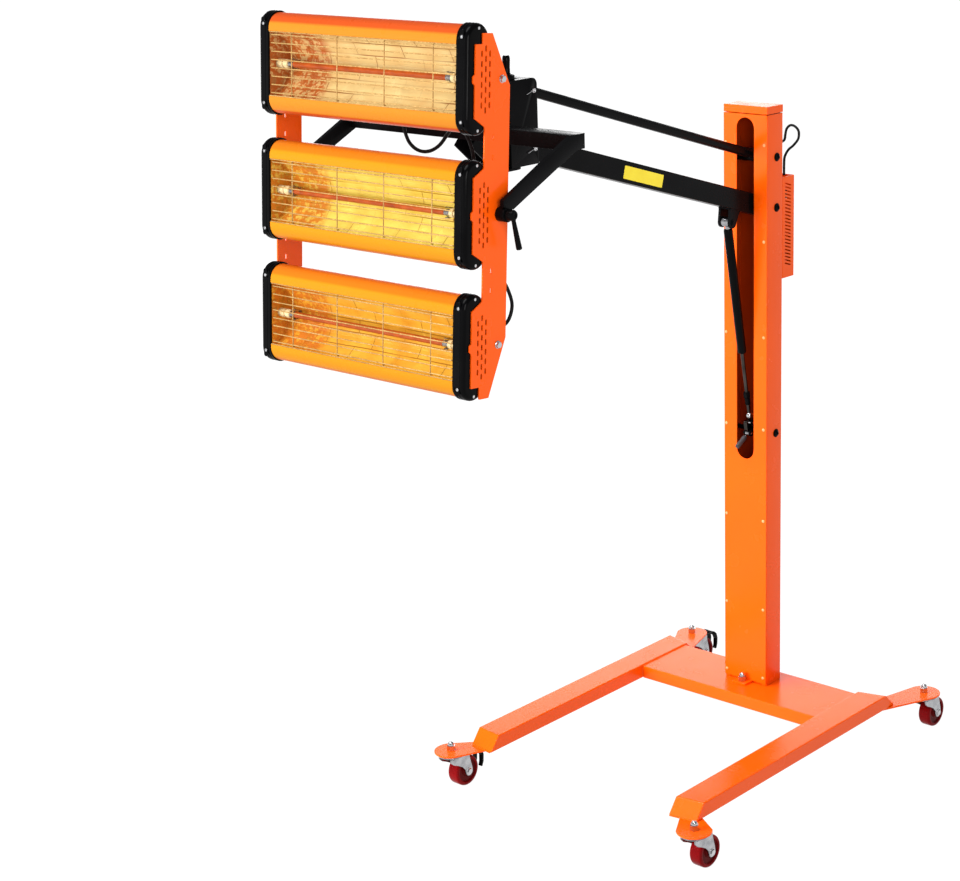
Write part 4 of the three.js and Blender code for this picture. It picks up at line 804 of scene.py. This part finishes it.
piece("arm_tube", arm_tube(), ON_ARM, BLACKED, "main_arm", 0.5, 2, 40)
clevis_at = (0, -CLEVIS_ALONG, -CLEVIS_DROP)
clips = [ring([(4.1, x), (6.6, x), (6.6, x + side), (4.1, x + side)], "X", 24, clevis_at)
         for side, x in ((-1, -14.6), (1, 14.6))]
piece("arm_clevis_pin", [cylinder(4, -17, 17, "X", 24, clevis_at, 0.5), *clips], ON_ARM, ("zinc_plate", BLACK),
      sharp=30)
collars = [ring([(9, y - 1.6), (10.4, y - 0.6), (10.4, y + 0.6), (9, y + 1.6)], "Y") for y in (-14.5, -690.5)]
piece("link_rod", [cylinder(9, -700, -4, "Y", 40), cylinder(13, -49.7, 49.7, "X", 40, chamfer=1.0),
                   cylinder(13, -17.2, 17.2, "X", 40, (0, -ARM_LENGTH, 0), 0.6), *collars],
      (frame_at(0, *LINK_PIVOT, -ARM_ANGLE), "link"), BLACKED, "upper_link", sharp=32)


# Gas spring, its anchor and the release lever

barrel = turned([(0, -14), (6.5, -14), (8.2, -15), (9, -17), (9, -274), (8.4, -277.5), (7, -279), (4.3, -279),
                 (4.3, -276)], "Z", 36)
eye = ring([(4.3, -8.7), (8.9, -8.7), (9.5, -8.1), (9.5, 8.1), (8.9, 8.7), (4.3, 8.7)], "X")
piece("spring_barrel", [barrel, (*cylinder(5.2, -16, -6, "Z", 24), 1), (*eye, 1)],
      (SPRING, "spring_cylinder"), ("black_paint", GLOSS, ZINC), "gas_spring_cylinder", sharp=32)


def spring_piston():
    """The rod, its lock nut and ball joint, and the slotted head that slides on the anchor's pin."""
    low = -SPRING_LENGTH

    def slotted(rim, radius):
        return rounded(rect(-16.5 + rim, 9.5 - rim, low - 12.5 + rim, low + 8 - rim), radius, 6)
    nut = [(0, 56), (6.4, 56), (7.5, 57.2), (7.5, 66.8), (6.4, 68), (0, 68)]
    ball = [(0 if k in (0, 12) else 7.2 * sin(pi * k / 12), low + 16 - 7.2 * cos(pi * k / 12)) for k in range(13)]
    return [cylinder(4, low + 16, -160, "Z", 28), (*turned([(r, low + z) for r, z in nut], "Z", 6), 1),
            (*cylinder(5.6, low + 40, low + 56, "Z", 24, chamfer=1.2), 1),
            plate(slotted(0, 4), -4, 4, "X", [slotted(3, 2.4)]), (*turned(ball, "Z", 28), 2)]


piece("spring_piston", spring_piston(), (SPRING, "spring_rod"), ("zinc_plate", ROD_PAINTED_REFLECTION, BLACK, CHROME),
      "gas_spring_rod", sharp=32)


def strap(u0, v0, r0, u1, v1, r1):
    """The outline of a band round two circles."""
    angle, lean = atan2(v1 - v0, u1 - u0), acos((r0 - r1) / hypot(u1 - u0, v1 - v0))
    return [*arc(u0, v0, r0, angle + lean, angle - lean + 2 * pi, 10),
            *arc(u1, v1, r1, angle - lean, angle + lean, 10)]


def spring_anchor():
    bolt = (PIVOT[0], 658.4)
    cheeks = [plate(strap(*bolt, 6.5, *to, 6), x + inset, x + 3 - inset) for x in (-8, 5)
              for to, inset in ((ANCHOR, 0), (LEVER_AT, 0.02))]
    return [*cheeks, *through_bolt(*bolt), (*cylinder(3, -9.5, 9.5, "X", 20, (0, *ANCHOR), 0.5), 1),
            (*cylinder(2, -9, 9, "X", 16, (0, *LEVER_AT), 0.3), 1)]


piece("spring_anchor_cheeks", spring_anchor(), BASE, BOLTED, "gas_spring_anchor", sharp=32)


def release_lever():
    lean = radians(29)
    ahead = Vector((0, -cos(lean), -sin(lean)))
    grip = [(10.5, 2.6), (12, 4.2), (14, 4.8), (20, 5.0), (28, 4.6), (36, 4.9), (41, 5.0), (43.4, 4.0), (44, 2.4)]
    return [(*ring(both_ways([(2.3, -4.7), (4.5, -4.7)]), "X", 24), 1), (*sweep([ahead * 4.2, ahead * 14], 2), 1),
            handle(Vector(), ahead, grip)]


piece("release_grip", release_lever(), (frame_at(0, *LEVER_AT), "release_lever"), ("black_plastic", GREY, CHROME),
      "gas_release_lever", sharp=40)


# Head bracket, yoke, swivel knob and clamps

dress("head_bracket", BLACK, 0.8)
dress("yoke", BLACK, 1.2, 3)


def clevis_with_ring():
    """A clevis pin flush with the bracket's walls, kept by a small spring clip: an eye and a straight leg."""
    eye = [(21.6, 3.3 * cos(2 * pi * k / 24), 3.3 * sin(2 * pi * k / 24)) for k in range(24)]
    return [cylinder(4, -22.5, 21.4, "X", 24, chamfer=0.5),
            turned([(0, -26.3), (7.6, -26.3), (8.5, -25.6), (8.5, -20.4), (0, -20.4)], "X"),
            sweep(eye, 0.8, 8, closed=True), sweep([(21.6, -3.0, 0), (21.7, -9, -1.6), (21.6, -20, -5.2)], 0.7, 8)]


for name, rise in (("arm", 0), ("link", LINK_RISE)):
    piece(f"{name}_front_clevis_pin", clevis_with_ring(), (frame_at(0, FRONT[0], FRONT[1] + rise), "bracket"),
          PLATED, f"{name}_bracket_pin")

knob = ring([(4.3, 0.3), (13.2, 0.3), (14, 1.2), (14, 6.8), (12.6, 8.3), (7.4, 9.6), (6.4, 11.6), (6.2, 20),
             (6.8, 32), (6.8, 36), (6.0, 39.4), (4.6, 40.9), (4.4, 16.4), (4.3, 15.4)], "Z", 40)
bracket_top = FRONT[1] + LINK_RISE + 21.8
piece("swivel_handle", [knob, cylinder(5.4, 33, 40.8, "Z", 28, chamfer=1.6)],
      (frame_at(0, SWIVEL_Y, bracket_top), "knob"), ("black_paint", GLOSS), "swivel_knob")


def clamp_handle():
    """The right clamp: a shank, a round hub and a lever that hangs a little back."""
    seat = 254.8
    end = seat + 13
    shank = [(0, 227.4), (7.2, 227.4), (8, 228), (8, 232.9), (7.4, 233.4), (4, 233.4), (4, seat)]
    hub = [(0, seat), (8.4, seat), (9, seat + 0.8), (9, seat + 3), (8.7, seat + 4), (8.7, end - 3),
           (7.4, end - 0.8), (5.2, end), (3.8, end), (3.6, end - 1.2), (0, end - 1.4)]
    lean = radians(13.5)
    along = Vector((0, sin(lean), -cos(lean)))
    grip = [(0, 4.2), (7, 4.2), (10, 3.5), (13, 3.6), (24, 4.0), (40, 4.5), (52, 4.9), (56, 4.9), (57, 4.3)]
    return [(*turned(shank, "X", 28), 1), turned(hub, "X", 36), handle(Vector((end - 5, 0, 0)), along, grip)]


for name, side in SIDES:
    piece(f"{name}_clamp_handle", mirrored(clamp_handle(), side), (frame_at(0, *TILT), f"{name}_clamp"), BOLTED,
          f"{name}_clamp_lever")


# Side plates and tie bars

ROWS = (PITCH, 0, -PITCH)  # the cassettes' heights, from the top


def side_plate_outline():
    """A tab in front of each cassette, and a neck between two of them."""
    f, n, top, foot = -60, -37, PITCH, -PITCH
    front = [(y, up + z) for up in ROWS for y, z in ((n, 72), (f, 58.3), (f, 8), (f - 4.5, 5), (f - 4.5, -5), (f, -8),
                                                     (f, -58.3), (n, -72))]
    points = [(18.5, top - 10), (-22.5, top + 69.5), (-44, top + 69.5), (-44, top + 53), (f, top + 53),
              *front[2:-2], (f, foot - 63), (-41, foot - 63), (-41, foot - 83), (-19.4, foot - 83), (18.5, foot + 10)]
    return rounded(points, 1.6, 4)


def side_plate_holes():
    """Three columns of cooling slots behind each cassette, and two slots in each neck."""
    vents = [stadium(3.8, 10, 5, -ahead, up + (k - (rows - 1) / 2) * 15.5) for up in ROWS[::-1]
             for ahead, rows in ((45.5, 6), (36.5, 7), (27.5, 6)) for k in range(rows)]
    return vents + [stadium(3.2, 9, 5, -18, neck + offset) for neck in (-PITCH / 2, PITCH / 2)
                    for offset in (-15.5, 15.5)]


for name, side in SIDES:
    metal = plate(side_plate_outline(), *sorted((side * PLATE_IN, side * PLATE_OUT)), "X", side_plate_holes())
    piece(f"{name}_perforated_plate", [metal], ON_HEAD, PAINTED, f"{name}_side_plate", 0.35, 2, 50)
    lining = [box(*sorted((side * 233.2, side * 233.65)), -50, -24.5, up - 54, up + 54) for up in ROWS[::-1]]
    piece(f"{name}_plate_lining", lining, ON_HEAD, ("black_plastic", MATT), sharp=50)

for name, up in (("top", PITCH), ("bottom", -PITCH)):
    bar = [cylinder(6, -233.4, 233.4, "X", 32, (0, 0, up), 0.5)]
    for side in (-1, 1):
        at = (side * (PLATE_OUT + 0.05), 0, up)
        bar += [(*washer(6.4, 0.4, side, at), 1), (*hex_head(side, at, 10, 5.1, 1.4), 1)]
    piece(f"{name}_stay_bar", bar, ON_HEAD, BOLTED, f"{name}_tie_bar", sharp=30)


# Cassettes. In a cassette's own frame y runs back from the housing's middle and z runs up.

SHELL_R, WALL = 25.0, 1.8
ARC_AT, MOUTH = 57.0, 52.5  # half heights of the housing's straight part and of its mouth
CAP_R, CAP_ARC_AT = 25.9, 59
STRIP_X = 221.8


def housing():
    """A C-shaped extrusion that is open to the front, with rolled lips at its mouth."""
    outer, inner = -SHELL_R, SHELL_R - WALL
    loop = [(outer, MOUTH + 0.2), (outer, ARC_AT), *arc(0, ARC_AT, SHELL_R, pi, 0, 28)[1:],
            *arc(0, -ARC_AT, SHELL_R, 0, -pi, 28), (outer, -MOUTH - 0.2), (outer + 0.5, -MOUTH),
            (outer + 1.3, -MOUTH), (outer + WALL, -MOUTH - 0.2), *arc(0, -ARC_AT, inner, -pi, 0, 28),
            *arc(0, ARC_AT, inner, 0, pi, 28), (outer + WALL, MOUTH + 0.2), (outer + 1.3, MOUTH),
            (outer + 0.5, MOUTH)]
    return [plate(loop, -HALF, HALF)]


def lamp_light_painted_at(p):
    """How much painted lamp light the paint takes: more towards the mouth, and more under it than over it."""
    facing = max(0.0, min(1.0, (12 - p.y) / 37))
    return min(1.0, facing ** 1.4 + (0.25 if p.z < 0 else 0.0) * facing)


def reflector():
    """A faceted trough with a thin wall, in 40 lengths, and its two end walls."""
    shares = [(0, 1), (0.3, 0.92), (0.64, 0.7), (0.88, 0.42), (1, 0.16)]
    front, depth, lengths = -22.6, 40.0, 40

    def face(inset):
        upper = [(front + d * (depth - inset), rise * ARC_AT - inset) for d, rise in shares]
        return upper + [(u, -v) for u, v in reversed(upper)]
    inner, outer = face(1.0), face(0.0)
    n = len(inner)
    xs = [-HALF + 0.4 + (2 * HALF - 0.8) * k / lengths for k in range(lengths + 1)]
    points = [(x, u, v) for x in xs for u, v in inner] + [(x, u, v) for x in (xs[0], xs[-1]) for u, v in outer]
    last, back = lengths * n, (lengths + 1) * n
    faces = [[a + k, a + k + 1, a + n + k + 1, a + n + k] for a in range(0, last, n) for k in range(n - 1)]
    for a, b in ((back, back + n), (0, back), (last, back + n)):
        faces += [[a + k, b + k, b + k + 1, a + k + 1] for k in range(n - 1)]
    faces += [[*range(k, back, n), back + n + k, back + k] for k in (0, n - 1)]
    end = [(u, v * 0.995) for u, v in inner]
    return [(points, faces), plate(end, -HALF + 0.05, -HALF + 0.4), plate(end, HALF - 0.4, HALF - 0.05)]


def hammered_at(p):
    left = max(0.0, min(1.0, (-95 - p.x) / 30))
    return max(left, 1.0 if p.x > HALF - 0.5 else 0.12)


def guard():
    """Eight wires along the mouth over four across it."""
    half, height, last = 206.5, MOUTH - 5.6, 50.4
    along = [(-half, 7), (-half, 2.6), (-half + 0.7, 0.8), (-half + 2.5, 0)]
    along += [(-x, y) for x, y in reversed(along)]
    across_mouth = [(5.5, -last), (3.0, -last + 0.1), (1.9, -last + 0.8), (1.9, last - 0.8), (3.0, last - 0.1),
                    (5.5, last)]
    wires = [sweep([(x, y, (k - 3.5) * 2 * height / 7) for x, y in along], 1.0, 10) for k in range(8)]
    return wires + [sweep([((k - 1.5) * 2 * (HALF - 50.7) / 3, y, z) for y, z in across_mouth], 1.0, 10)
                    for k in range(4)]


def lamp_tube():
    """The quartz tube, a ceramic end with a groove on each side, and a metal collar beside it."""
    end = HALF - 0.3
    ceramic = end - 24
    a = ceramic - 3
    profile = [(0, a), (5.6, a), (7.0, a + 1.2), (7.5, a + 4), (7.5, a + 9), (6.2, a + 10), (6.2, a + 12),
               (7.5, a + 13), (7.5, end - 1), (6.8, end), (0, end)]
    shapes = [cylinder(5.3, -ceramic - 1, ceramic + 1, "X")]
    for side in (-1, 1):
        shapes += [(*turned(profile, "X", 28, side=side), 1),
                   (*sweep([(side * a, 0, 0), (side * (ceramic - 14), 0, 0)], 5.7, 24), 2)]
    return shapes


def tube_clips():
    clip = rounded([(-1.5, -9.5), (14, -6), (14, 6), (-1.5, 9.5), (-3, 8), (12, 4.6), (12, -4.6), (-3, -8)], 0.6, 3)
    return [plate(clip, x - 4, x + 4) for x in (-176, 176)]


# Pale strips along the lips of the mouth: painted highlights, where the rolled lips catch the light.
def mouth_highlight_strips():
    return [box(-HALF + 0.3, HALF - 0.3, -24.9, -22.9, *sorted((side * 50.9, side * 52.3))) for side in (-1, 1)]


def end_cap():
    """The right cap: a lofted stadium with grooves round its ends and a rounded outer edge, and a front strip."""
    steps, edge, flat = 20, 7, 16.4
    rings = [(0.0, 0.9), (0.8, 0.0), (4.2, 0.0), (4.9, 1.3), (6.6, 1.3), (7.3, 0.0), (10.2, 0.0), (10.9, 1.3),
             (12.6, 1.3), (13.3, 0.0), (flat, 0.0)]
    rings += [(flat + edge * sin(a), edge * (1 - cos(a))) for a in (pi / 2 * k / 6 for k in range(1, 7))]
    rows = []
    for x, inset in rings:
        grooved, row = 0.8 < x < flat, []
        for half in (1, -1):
            for k in range(steps + 1):
                a = pi * (k / steps + (half < 0))
                r = CAP_R if grooved and k in (0, steps) else CAP_R - inset
                row.append((210 + x, r * cos(a), half * CAP_ARC_AT + r * sin(a)))
        rows.append(row)
    points, faces = plate(stadium(9, 150, 8), 0, 1.0, "Y")
    return [lofted(rows), ([(STRIP_X + x, -0.35 - CAP_R + y, z) for x, y, z in points], faces)]


def cap_screws(side):
    return ([pan_screw("Y", -1, (side * STRIP_X, -CAP_R, up), 3.0, 0.75) for up in (-64, 64)]
            + [pan_screw("X", side, (side * 233.3, 0, up), 2.6, 0.3) for up in (-77, 77)])


for level, up in zip(("top", "middle", "bottom"), ROWS):
    here, lamp_at, guard_at = ((HEAD @ Matrix.Translation((0, y, up)), "head") for y in (-50, -53, -73.4))
    # Each housing takes painted lamp light towards its mouth.
    piece(f"{level}_housing_extrusion", housing(), here, ("orange_paint", HOUSINGS[level]), f"{level}_housing",
          sharp=40, field=("painted_lamp_light", lamp_light_painted_at))
    piece(f"{level}_reflector_trough", reflector(), here, ("polished_aluminium", MIRRORS[level]),
          f"{level}_reflector", sharp=8, field=("hammered", hammered_at))
    piece(f"{level}_lamp", lamp_tube(), lamp_at, ("quartz", GLASS, CERAMIC, ZINC), f"{level}_quartz_tube", sharp=32)
    piece(f"{level}_lamp_clips", tube_clips(), lamp_at, ("zinc_plate", ZINC), None, 0.2, 1)
    piece(f"{level}_guard_wires", guard(), guard_at, ("steel_wire", WIRE), f"{level}_wire_guard", sharp=60)
    # Pale strips on the mouth's lips: painted highlights.
    piece(f"{level}_mouth_highlight_strips", mouth_highlight_strips(), here, ("polished_aluminium", WIRE), None, 0.3, 1)
    for name, side in SIDES:
        piece(f"{level}_{name}_cap_moulding", mirrored(end_cap(), side), here, MOULDED, f"{level}_{name}_end_cap",
              sharp=40)
        piece(f"{level}_{name}_cap_screws", cap_screws(side), here, PLATED, sharp=30)

# A plain yellow film on the arm's side, with nothing printed on it
film = plate(rounded(rect(-446, -328, -13, 11), 2, 3), 15.02, 15.2)
piece("arm_plain_film", [film], ON_ARM, ("black_paint", YELLOW), sharp=30)


# Floor and light

FLOOR_SIZE, FLOOR_GLOW = 60, 0.985
SUN_POWER, SUN_ANGLE, SUN_DIRECTION = 3.3, 40, (0.2, 0.32, -0.93)
# Place and target in metres, width and height, radiance, and whether glossy surfaces show the lamp
PANELS = {
    "key_softbox": ((-2.0, -4.0, 1.5), (0, 0, 0.9), 2.4, 2.6, 17.0, False),
    "front_glow": ((-1.4, -3.4, 2.3), (0, 0, 1.0), 0.5, 2.2, 2.5, True),
    "side_softbox": ((1.7, -1.3, 1.7), (0.24, -0.55, 1.25), 0.7, 0.9, 9.0, True),
    "back_panel": ((-2.9, 4.2, 1.1), (0, 0, 0.5), 6.0, 2.4, 2.8, True),
    "edge_strip": ((-0.6, 2.6, 3.4), (0, 0, 1.2), 2.2, 0.3, 5.0, True),
}


def make_floor():
    mesh = bpy.data.meshes.new("floor")
    s = FLOOR_SIZE
    mesh.from_pydata([(-s, -s, 0), (s, -s, 0), (s, s, 0), (-s, s, 0)], [], [[0, 1, 2, 3]])
    nodes = new_material("pale_floor")
    tint = nodes.ramp(nodes.noise(0.6), (0.35, grey(0.05)), (0.65, grey(0.06)))
    mesh.materials.append(nodes.shade({"Base Color": tint, "Roughness": 1.0, "Specular IOR Level": 0.0,
                                       "Emission Color": grey(1), "Emission Strength": FLOOR_GLOW}))
    floor = new_object("floor", mesh)


def new_light(name, kind, direction):
    lamp = new_object(name, bpy.data.lights.new(name, kind))
    lamp.rotation_mode = "QUATERNION"
    lamp.rotation_quaternion = direction.to_track_quat("-Z", "Y")
    return lamp


def make_light():
    scene = bpy.context.scene
    scene.view_settings.view_transform = "Standard"
    scene.world = bpy.data.worlds.new("studio")
    sky = Nodes(scene.world, "Background", "Generated")
    height = sky.node("SeparateXYZ", {"Vector": sky.coord}).outputs["Z"]
    sky.shade({"Strength": 1.0, "Color": sky.ramp(
        height, (0.0, grey(1)), (0.09, grey(1)), (0.21, (0.34, 0.34, 0.345)), (0.5, (0.32, 0.32, 0.33)),
        (0.62, (0.22, 0.22, 0.23)), (1.0, (0.28, 0.28, 0.29)))})
    sun = new_light("soft_sun", "SUN", Vector(SUN_DIRECTION))
    sun.data.energy, sun.data.angle = SUN_POWER, radians(SUN_ANGLE)
    for name, (place, target, width, height, radiance, shown) in PANELS.items():
        lamp = new_light(name, "AREA", Vector(target) - Vector(place))
        lamp.location = place
        lamp.data.shape = "RECTANGLE"
        lamp.data.size, lamp.data.size_y = width, height
        lamp.data.energy = radiance * pi * width * height
        lamp.visible_camera, lamp.visible_glossy = False, shown


make_floor()
make_light()
